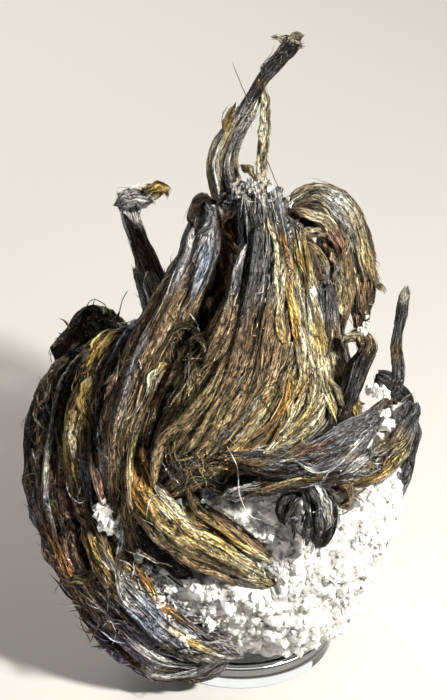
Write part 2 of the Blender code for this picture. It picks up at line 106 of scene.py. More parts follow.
# The wires' routes, as in the solids: slot, the way the flat side faces, and the route. A seen route's
# point is x and y where it was read off the picture, in pixels, then out, half width and half
# thickness in millimetres.
SEEN_WIRES = {
    "cross_rope": (TARNISHED, OUTWARD, [
        (212, 460, 14.6, 0.4, 0.5), (245, 464, 15.2, 0.5, 0.7), (280, 466, 15.6, 0.75, 0.9),
        (315, 460, 15.4, 1.0, 1.0), (345, 443, 14.6, 1.25, 1.0), (370, 422, 13.2, 0.75, 0.8),
        (388, 402, 11.9, 0.4, 0.5)]),
    "upright_wire": (TARNISHED, OUTWARD, [
        (393, 393, 11.4, 0.35, 0.35), (398, 376, 11.2, 0.35, 0.35), (396, 345, 11.0, 0.3, 0.3),
        (401, 315, 11.0, 0.3, 0.3), (406, 288, 11.0, 0.25, 0.3)]),
    "cross_tip": (TARNISHED, OUTWARD, [
        (224, 497, 14.2, 0.3, 0.3), (250, 489, 14.8, 0.5, 0.6), (280, 480, 15.2, 0.75, 0.7),
        (310, 476, 15.0, 0.75, 0.7), (340, 470, 14.2, 0.5, 0.7), (368, 452, 13.0, 0.4, 0.6)]),
    "dark_hook": (TARNISHED, OUTWARD, [
        (300, 490, 13.2, 0.4, 0.5), (312, 491, 14.0, 0.5, 0.6), (322, 505, 14.6, 0.75, 0.8),
        (322, 528, 14.4, 0.75, 0.8), (316, 545, 13.6, 0.5, 0.6)]),
    "dark_fan": (TARNISHED, OUTWARD, [
        (298, 492, 13.4, 0.4, 0.5), (291, 498, 14.0, 0.5, 0.6), (285, 508, 14.2, 0.6, 0.7),
        (286, 522, 13.9, 0.4, 0.5)]),
    "hooked_wire": (TARNISHED, OUTWARD, [
        (338, 422, 13.4, 0.4, 0.6), (347, 398, 13.3, 0.5, 0.7), (357, 368, 13.0, 0.6, 0.8),
        (366, 348, 12.6, 0.5, 0.7), (358, 336, 12.3, 0.4, 0.55), (346, 340, 12.3, 0.25, 0.4)]),
    "centre_sheaf": (TARNISHED, OUTWARD, [
        (258, 190, 10.5, 1.5, 1.4), (262, 225, 11.3, 1.5, 1.5), (265, 262, 12.0, 1.75, 1.6),
        (262, 300, 12.6, 2.25, 1.8), (253, 342, 13.1, 3.0, 2.0), (238, 385, 13.3, 3.5, 2.1),
        (213, 425, 13.2, 3.25, 2.0), (185, 458, 12.7, 2.5, 1.7), (160, 490, 12.0, 1.0, 0.8)]),
    "right_sheaf": (GOLDEN, OUTWARD, [
        (292, 225, 9.8, 0.5, 0.8), (297, 262, 10.6, 0.75, 1.0), (301, 300, 11.2, 1.0, 1.1),
        (306, 340, 11.8, 1.25, 1.2), (311, 378, 12.4, 1.5, 1.2), (308, 408, 13.0, 1.5, 1.1),
        (292, 430, 13.4, 1.25, 0.9), (262, 447, 13.5, 0.5, 0.6)]),
    "right_outer_sheaf": (BRIGHT, OUTWARD, [
        (325, 285, 8.6, 0.5, 0.7), (324, 320, 9.4, 0.75, 1.0), (328, 355, 10.2, 0.75, 1.1),
        (338, 388, 11.0, 0.75, 1.1), (348, 415, 11.6, 0.6, 0.9), (352, 432, 12.0, 0.4, 0.6)]),
    "left_sheaf": (TARNISHED, OUTWARD, [
        (207, 210, 9.5, 0.75, 1.0), (203, 240, 10.2, 1.25, 1.2), (191, 275, 10.7, 1.5, 1.3),
        (174, 312, 11.1, 1.75, 1.5), (156, 352, 11.3, 2.0, 1.6), (138, 392, 11.4, 2.0, 1.6),
        (126, 430, 11.2, 1.75, 1.6), (120, 470, 10.8, 1.5, 1.5), (122, 510, 10.5, 1.25, 1.3),
        (136, 548, 10.3, 0.75, 1.0), (158, 578, 10.4, 0.25, 0.4)]),
    "inner_curl": (GOLDEN, OUTWARD, [
        (140, 440, 11.7, 0.5, 0.8), (138, 465, 12.0, 0.75, 1.0), (147, 498, 12.5, 1.25, 1.1),
        (172, 528, 12.7, 1.25, 1.2), (205, 550, 12.3, 1.25, 1.1), (240, 568, 11.7, 1.0, 0.9),
        (276, 584, 10.9, 0.25, 0.3)]),
    "inner_strand": (TARNISHED, OUTWARD, [
        (190, 480, 11.4, 0.4, 0.5), (195, 500, 12.0, 0.5, 0.6), (215, 520, 12.3, 0.5, 0.6),
        (243, 539, 12.2, 0.5, 0.6), (271, 558, 11.7, 0.3, 0.4)]),
    "lower_band": (TARNISHED, OUTWARD, [
        (92, 525, 10.0, 0.6, 0.9), (112, 562, 10.5, 1.0, 1.1), (138, 595, 10.4, 1.25, 1.2),
        (170, 622, 9.9, 1.25, 1.2), (205, 643, 9.4, 1.0, 1.0), (240, 655, 8.8, 0.25, 0.3)]),
    "left_mid_rope": (GOLDEN, OUTWARD, [
        (128, 335, 9.0, 0.75, 0.9), (106, 362, 9.2, 1.0, 1.1), (90, 400, 9.3, 1.25, 1.2),
        (84, 440, 9.3, 1.25, 1.3), (88, 480, 9.3, 1.25, 1.3), (100, 520, 9.3, 1.0, 1.1),
        (120, 560, 9.2, 0.4, 0.5)]),
    "lower_outer_band": (TARNISHED, OUTWARD, [
        (66, 525, 8.8, 0.75, 0.9), (84, 562, 8.9, 1.0, 1.2), (108, 600, 8.8, 1.25, 1.3),
        (138, 632, 8.4, 1.25, 1.3), (172, 655, 8.0, 1.0, 1.1), (214, 662, 7.7, 0.3, 0.4)]),
    "left_edge_rope": (TARNISHED, OUTWARD, [
        (75, 360, 5.8, 1.25, 0.9), (58, 400, 5.9, 2.0, 1.3), (50, 440, 6.2, 2.5, 1.5),
        (50, 480, 6.6, 2.25, 1.5), (58, 520, 6.8, 2.0, 1.4), (72, 560, 6.8, 1.5, 1.3),
        (94, 595, 6.6, 1.0, 1.0)]),
    "lower_rim": (TARNISHED, OUTWARD, [
        (74, 582, 5.6, 0.6, 0.6), (100, 613, 5.9, 1.0, 1.1), (130, 643, 6.2, 1.25, 1.2),
        (163, 663, 6.6, 1.25, 1.1), (198, 666, 7.0, 0.75, 0.9), (230, 655, 7.3, 0.3, 0.4)]),
    "right_rough_rope": (BRIGHT, OUTWARD, [
        (334, 492, 12.6, 0.5, 0.7), (362, 477, 11.9, 1.0, 0.9), (388, 457, 10.2, 1.0, 1.0),
        (405, 428, 8.0, 0.75, 0.9), (412, 404, 6.2, 0.4, 0.6)]),
    "gap_strand": (GOLDEN, OUTWARD, [
        (234, 212, 8.0, 0.5, 0.7), (228, 242, 8.2, 0.75, 0.8), (223, 277, 8.5, 0.75, 0.9),
        (217, 314, 8.9, 0.5, 0.8), (214, 348, 9.2, 0.4, 0.6)]),
    "left_blade": (BRIGHT, OUTWARD, [
        (150, 316, 8.4, 0.3, 0.25), (143, 292, 7.6, 0.3, 0.25), (136, 268, 7.0, 0.2, 0.2)]),
    "back_curl_plate": (BRIGHT, OUTWARD, [
        (290, 243, 6.9, 0.6, 0.8), (308, 258, 6.8, 1.0, 0.9), (319, 288, 6.9, 1.0, 0.9),
        (322, 324, 7.4, 0.6, 0.7)]),
    "back_curl_inner": (BRIGHT, FORWARD_AND_UP, [
        (289, 232, 4.8, 0.6, 0.8), (302, 216, 4.8, 1.0, 1.0), (322, 220, 4.6, 1.0, 1.1),
        (334, 245, 4.4, 1.0, 1.1), (340, 275, 4.4, 1.0, 1.1), (341, 305, 4.8, 0.75, 1.0),
        (338, 335, 5.6, 0.4, 0.6)]),
    "back_curl_outer": (BRIGHT, FORWARD_AND_UP, [
        (286, 224, 2.4, 0.6, 0.7), (304, 203, 2.2, 1.0, 1.0), (331, 203, 2.0, 1.0, 1.1),
        (350, 227, 1.8, 1.0, 1.1), (360, 260, 1.8, 1.0, 1.1), (362, 296, 2.2, 0.75, 1.0),
        (359, 333, 3.2, 0.4, 0.6)]),
    "right_loop": (BRIGHT, OUTWARD, [
        (378, 374, 3.6, 0.5, 0.6), (396, 396, 3.0, 0.75, 0.8), (405, 430, 2.7, 0.75, 0.9),
        (399, 464, 3.1, 0.75, 0.9), (387, 494, 4.0, 0.6, 0.8), (374, 522, 5.0, 0.4, 0.5)]),
    "top_wire": (TARNISHED, FORWARD, [
        (234, 226, 5.2, 1.0, 0.9), (231, 200, 5.2, 1.1, 1.0), (223, 173, 5.0, 1.0, 0.9),
        (225, 148, 4.6, 0.9, 0.8), (240, 122, 4.2, 0.7, 0.6), (254, 96, 3.8, 0.5, 0.5),
        (264, 77, 3.6, 0.4, 0.4), (281, 58, 3.4, 0.45, 0.4), (298, 38, 3.2, 0.35, 0.35)]),
    "gold_wire": (GOLDEN, FORWARD, [
        (263, 213, 6.2, 0.25, 0.25), (261, 188, 5.6, 0.25, 0.25), (262, 158, 4.8, 0.3, 0.25),
        (265, 127, 4.2, 0.25, 0.2), (266, 102, 3.8, 0.2, 0.2)]),
    "left_curl": (TARNISHED, FORWARD, [
        (163, 335, 4.6, 1.0, 1.0), (157, 298, 3.8, 1.0, 0.9), (149, 268, 3.1, 0.75, 0.8),
        (139, 240, 2.6, 0.6, 0.7), (131, 217, 2.4, 0.6, 0.6), (132, 201, 2.8, 0.75, 0.6),
        (146, 193, 3.3, 0.6, 0.6), (162, 191, 3.6, 0.4, 0.4)]),
    "left_tangle": (TARNISHED, OUTWARD, [
        (135, 350, 4.6, 0.75, 0.8), (111, 330, 3.9, 1.0, 0.9), (90, 322, 3.3, 1.0, 0.9),
        (73, 339, 3.1, 0.75, 0.8), (56, 363, 3.2, 0.4, 0.5)]),
}

# The unseen back's wires, in the same form, but with across and up in millimetres
HIDDEN_WIRES = {
    "back_left_rope": (TARNISHED, OUTWARD, [
        (-3.0, 25.5, 6.5, 0.8, 0.8), (-4.5, 23.0, 4.5, 1.1, 1.0), (-6.5, 20.0, 2.0, 1.5, 1.2),
        (-9.0, 16.5, 1.0, 1.8, 1.3), (-10.0, 13.0, 1.0, 1.9, 1.3), (-10.0, 9.0, 1.5, 1.8, 1.3),
        (-9.0, 5.5, 2.5, 1.5, 1.2), (-7.5, 2.5, 3.5, 1.0, 0.9)]),
    "back_centre_sheaf": (GOLDEN, OUTWARD, [
        (1.0, 27.0, 7.0, 1.0, 0.9), (1.0, 24.5, 4.0, 1.3, 1.1), (0.5, 21.0, 1.0, 1.9, 1.4),
        (-1.0, 17.0, -1.0, 2.4, 1.5), (-3.0, 13.0, -2.0, 2.6, 1.6), (-4.5, 9.0, -2.0, 2.4, 1.5),
        (-4.5, 5.5, -0.5, 1.9, 1.3), (-3.5, 2.5, 2.0, 1.1, 0.9)]),
    "back_right_rope": (TARNISHED, OUTWARD, [
        (3.5, 26.0, 5.5, 0.8, 0.8), (4.5, 23.0, 3.0, 1.1, 1.0), (6.0, 20.0, 1.0, 1.6, 1.2),
        (6.0, 16.5, -1.0, 2.0, 1.4), (5.5, 12.5, -2.0, 2.2, 1.4), (4.0, 8.5, -2.0, 2.1, 1.4),
        (2.0, 5.5, -1.0, 1.7, 1.2), (0.5, 3.0, 1.0, 1.0, 0.9)]),
}

# Linear colours of tarnish and clean metal, also used for painted highlights and painted shade
TINTS = {
    "black": (0.030, 0.028, 0.026),
    "charcoal": (0.13, 0.135, 0.14),
    "slate": (0.27, 0.275, 0.295),
    "umber": (0.18, 0.122, 0.072),
    "brown": (0.42, 0.295, 0.17),
    "olive": (0.56, 0.44, 0.225),
    "gold": (0.90, 0.62, 0.20),
    "cream": (1.0, 0.87, 0.58),
    "orange": (0.70, 0.35, 0.11),
    "rose": (0.50, 0.29, 0.22),
    "silver": (0.95, 0.94, 0.90),
    "blue": (0.50, 0.57, 0.72),
    "violet": (0.32, 0.28, 0.40),
    "moss": (0.17, 0.17, 0.08),
    "stone": (0.60, 0.55, 0.44),
}

# name: (tints along it from its first end, strands to a square millimetre, depth of its ridges in
# millimetres)
LOOKS = {
    "cross_rope": (("umber", "umber", "charcoal", "slate", "slate", "umber"), 2.4, 0.2),
    "upright_wire": (("charcoal", "charcoal", "umber", "charcoal", "charcoal", "stone"), 2.4, 0.12),
    "cross_tip": (("silver", "black", "umber", "black", "charcoal"), 2.4, 0.2),
    "dark_hook": (("black", "charcoal", "black", "black", "black"), 2.4, 0.22),
    "dark_fan": (("black", "charcoal", "black", "black"), 3.0, 0.2),
    "hooked_wire": (("umber", "black", "charcoal", "black", "brown", "cream"), 2.4, 0.18),
    "centre_sheaf": (("silver", "charcoal", "slate", "brown", "brown", "olive", "brown", "umber"), 1.7, 0.24),
    "right_sheaf": (("slate", "gold", "cream", "gold", "cream", "cream", "brown"), 2.2, 0.22),
    "right_outer_sheaf": (("charcoal", "slate", "brown", "cream", "gold", "umber"), 2.1, 0.22),
    "left_sheaf": (
        ("black", "slate", "brown", "brown", "brown", "brown", "olive", "brown", "umber"), 1.6, 0.2),
    "inner_curl": (("umber", "orange", "gold", "olive", "cream", "olive"), 2.2, 0.24),
    "inner_strand": (("umber", "umber", "brown", "umber"), 2.4, 0.16),
    "lower_band": (("brown", "gold", "slate", "blue", "umber", "silver"), 2.2, 0.24),
    "left_mid_rope": (("umber", "gold", "brown", "gold", "umber", "brown", "umber"), 2.1, 0.24),
    "lower_outer_band": (("umber", "rose", "umber", "violet", "slate", "violet"), 2.2, 0.24),
    "left_edge_rope": (("umber", "moss", "black", "umber", "slate", "rose", "umber"), 2.0, 0.26),
    "lower_rim": (("umber", "black", "violet", "umber", "slate"), 2.0, 0.24),
    "right_rough_rope": (("brown", "silver", "olive", "slate", "charcoal"), 2.2, 0.22),
    "gap_strand": (("umber", "orange", "gold", "umber", "black"), 2.4, 0.2),
    "left_blade": (("slate", "silver", "moss"), 2.4, 0.1),
    # the back curl's skins are umber as painted shade between its folds
    "back_curl_plate": (("umber", "umber", "umber", "umber"), 1.2, 0.24),
    "back_curl_inner": (("umber", "umber", "umber", "brown", "brown", "umber"), 1.0, 0.28),
    "back_curl_outer": (("umber", "brown", "brown", "umber", "umber", "umber"), 1.0, 0.28),
    "right_loop": (("charcoal", "black", "charcoal", "slate", "charcoal"), 1.8, 0.2),
    "top_wire": (("umber", "stone", "stone", "olive", "stone", "stone", "slate", "black", "black", "black",
                  "black", "umber"), 1.6, 0.12),
    "gold_wire": (("cream", "cream", "cream", "gold"), 2.4, 0.02),
    "left_curl": (("black", "black", "black", "umber", "slate", "silver", "silver", "gold"), 2.0, 0.18),
    "left_tangle": (("black", "moss", "black", "umber", "black"), 2.6, 0.24),
    "back_left_rope": (("umber", "brown", "umber", "olive", "umber"), 1.1, 0.24),
    "back_centre_sheaf": (("slate", "brown", "gold", "brown", "umber"), 1.1, 0.24),
    "back_right_rope": (("umber", "slate", "brown", "umber", "olive"), 1.1, 0.24),
}

# Kinds of strand: share of them all, half width, thickness as a share of that, length, lift, lift of the
# free end, how far they drift round the wire in radians, rings, sides, and tone
STRAND_KINDS = {
    "sliver": (0.09, (0.07, 0.17), 0.35, (2.0, 7.5), (-0.02, 0.02), (0.0, 0.12), 0.25, 12, 4, 0.9),
    "fibre": (0.50, (0.026, 0.060), 0.80, (1.2, 5.5), (-0.02, 0.03), (0.0, 0.10), 0.35, 9, 3, 1.0),
    "splinter": (0.17, (0.026, 0.060), 0.60, (0.5, 2.0), (-0.02, 0.03), (0.04, 0.24), 0.80, 7, 3, 0.8),
    "hair": (0.015, (0.016, 0.026), 1.00, (1.0, 3.2), (0.0, 0.04), (0.2, 0.6), 1.5, 12, 3, 0.8),
    "glint": (0.21, (0.022, 0.045), 0.90, (0.12, 0.55), (0.0, 0.03), (0.0, 0.05), 1.0, 3, 3, 2.8),
}

# The brightness of strands about their wire's own, as the mean and spread of its logarithm, and the share and
# brightness of those that are worn bright or black
STRAND_TONE = (-0.1, 0.6)
WORN_SHARE = 0.07
WORN_TONE = 2.0
BLACK_SHARE = 0.15
BLACK_TONE = 0.3
STRAND_SPREAD = 0.85  # how far strands lie round a wire from its outward side, in radians
LOOSE_SHARE = 0.2  # share of the strands that lie anywhere round it
LONGEST_SHARE = 0.9  # the longest strand as a share of its wire
PAST_END = 0.35  # how far a strand may reach past its wire's end
STRAND_SINK = 0.8  # how much of a crack's depth a strand follows
STRAND_WOBBLE = 0.10
TIP_REACH = 0.6  # how far a strand's tip stands out, in half widths
FLOW_RANGE = 40  # the stretch over which strands take their share of the pattern
FLOW_SHIFT = 3.1

# Cracks along a wire: width of a cell, its length, depth as a share of the wire's own, and how much of a
# cell is the crack's slope
CRACK_LAYERS = ((1.05, 8.0, 1.0, 0.24), (0.45, 6.0, 0.55, 0.20), (0.24, 3.0, 0.25, 0.30))
CRACK_WANDER = (0.35, 2.3)  # how far cracks sway, in cells, and over what length
CRACK_SHIFT = 7.3  # how far apart the layers' patterns are read
CRACK_SHADE = 0.75  # how much a full crack darkens the skin, as painted shade
CRACK_SHADE_TONE = (0.05, 0.85)  # painted shade: brightness in a crack, and what is added where the skin is clear
STREAK_TONE = (0.45, 0.9)
STREAK_SIZE = (0.25, 2.5)  # width and length of a streak
KNOB_CELL = 0.9  # size of the knobs on a tangled wire
KNOB_STRETCH = 1.3
KNOB_SETTLING = 0.6  # share of the knobs' height that the skin is let down by
KNOBS = {
    "left_edge_rope": 0.5, "left_tangle": 0.7, "lower_outer_band": 0.34, "lower_rim": 0.4,
    "lower_band": 0.2, "gold_wire": 0.0, "upright_wire": 0.03, "right_loop": 0.4, "back_curl_inner": 0.3,
    "back_curl_outer": 0.35, "left_mid_rope": 0.2, "left_sheaf": 0.12, "right_rough_rope": 0.3,
    "dark_hook": 0.12, "back_curl_plate": 0.3, "top_wire": 0.1,
}
PLAIN_KNOB = 0.08

# Seeds of the random patterns: those that are added to a wire's own, and the first of each kind of laid piece
KNOB_SEED = 61
RAGGED_SEED = 9
JITTER_SEED = 77
STREAK_SEED = 31
STRAND_SEED = 500
LAID_SEED = 7000
HAIR_SEED = 9000
WILD_SEED = 9500
GRAIN_SEED = 77

# Tints of places on the front, with painted light among them: cream and silver spots on lit sides are painted
# highlights, black ones on the left edge painted shade. x and y in pixels, reach in pixels, tint, strength
SPOTS_AND_PAINTED_LIGHT = (
    (258, 192, 14, "silver", 0.7), (282, 204, 8, "blue", 0.6), (256, 236, 13, "charcoal", 0.9),
    (270, 228, 6, "cream", 0.9), (278, 254, 6, "cream", 0.9), (279, 290, 7, "cream", 0.9),
    (287, 262, 5, "orange", 0.6), (292, 300, 6, "orange", 0.6), (294, 284, 4, "gold", 0.8),
    (212, 236, 8, "silver", 0.6), (205, 254, 7, "blue", 0.6), (192, 234, 5, "silver", 0.7),
    (212, 268, 5, "silver", 0.6), (229, 246, 7, "gold", 0.9), (234, 264, 5, "cream", 0.9),
    (226, 225, 7, "rose", 0.6), (228, 305, 6, "slate", 0.6), (244, 250, 5, "silver", 0.6),
    (262, 300, 14, "slate", 0.35), (240, 330, 16, "brown", 0.6), (205, 395, 18, "olive", 0.7),
    (175, 440, 16, "olive", 0.8), (212, 405, 8, "umber", 0.5), (250, 372, 12, "umber", 0.45),
    (286, 352, 10, "olive", 0.6), (300, 345, 12, "cream", 0.7), (312, 380, 11, "cream", 0.8),
    (300, 415, 9, "cream", 0.7), (272, 420, 10, "orange", 0.5), (262, 432, 7, "orange", 0.6),
    (222, 462, 8, "orange", 0.8), (238, 455, 9, "orange", 0.6), (270, 398, 12, "gold", 0.4),
    (158, 374, 7, "cream", 0.9), (150, 366, 5, "gold", 0.7), (85, 390, 8, "gold", 0.9),
    (88, 398, 4, "cream", 0.9), (72, 425, 7, "gold", 0.8), (76, 432, 4, "cream", 0.8),
    (112, 382, 5, "orange", 0.7), (128, 420, 5, "cream", 0.6), (50, 405, 12, "black", 0.8),
    (40, 440, 12, "black", 0.8), (44, 505, 9, "rose", 0.5), (62, 520, 10, "orange", 0.4),
    (142, 504, 7, "orange", 0.7), (170, 512, 8, "cream", 0.6), (190, 545, 9, "gold", 0.6),
    (222, 552, 8, "gold", 0.7), (130, 602, 7, "blue", 0.5), (140, 590, 6, "silver", 0.5),
    (160, 622, 6, "blue", 0.5), (120, 575, 6, "olive", 0.6), (70, 588, 8, "brown", 0.5),
    (190, 655, 7, "violet", 0.6), (205, 660, 6, "silver", 0.6), (165, 672, 7, "olive", 0.6),
    (346, 434, 14, "slate", 0.8), (322, 440, 7, "blue", 0.6), (312, 448, 5, "rose", 0.7),
    (300, 452, 6, "silver", 0.6), (236, 492, 7, "silver", 0.9), (354, 463, 8, "silver", 0.5),
    (372, 470, 8, "brown", 0.6), (352, 338, 5, "orange", 0.8), (345, 341, 4, "cream", 0.9),
    (337, 208, 10, "cream", 0.7), (355, 235, 8, "cream", 0.5), (320, 212, 8, "cream", 0.6),
    (322, 234, 8, "brown", 0.6), (312, 258, 8, "umber", 0.6), (355, 285, 8, "olive", 0.5),
    (222, 180, 9, "slate", 0.6), (232, 205, 8, "slate", 0.6), (250, 108, 7, "slate", 0.6),
    (280, 62, 12, "black", 0.9), (262, 80, 8, "umber", 0.7), (132, 200, 8, "slate", 0.5),
    (146, 201, 6, "silver", 0.95), (136, 196, 4, "silver", 0.9), (160, 190, 5, "gold", 0.8),
    (122, 205, 6, "slate", 0.7), (140, 250, 10, "black", 0.8), (185, 335, 8, "moss", 0.8),
)
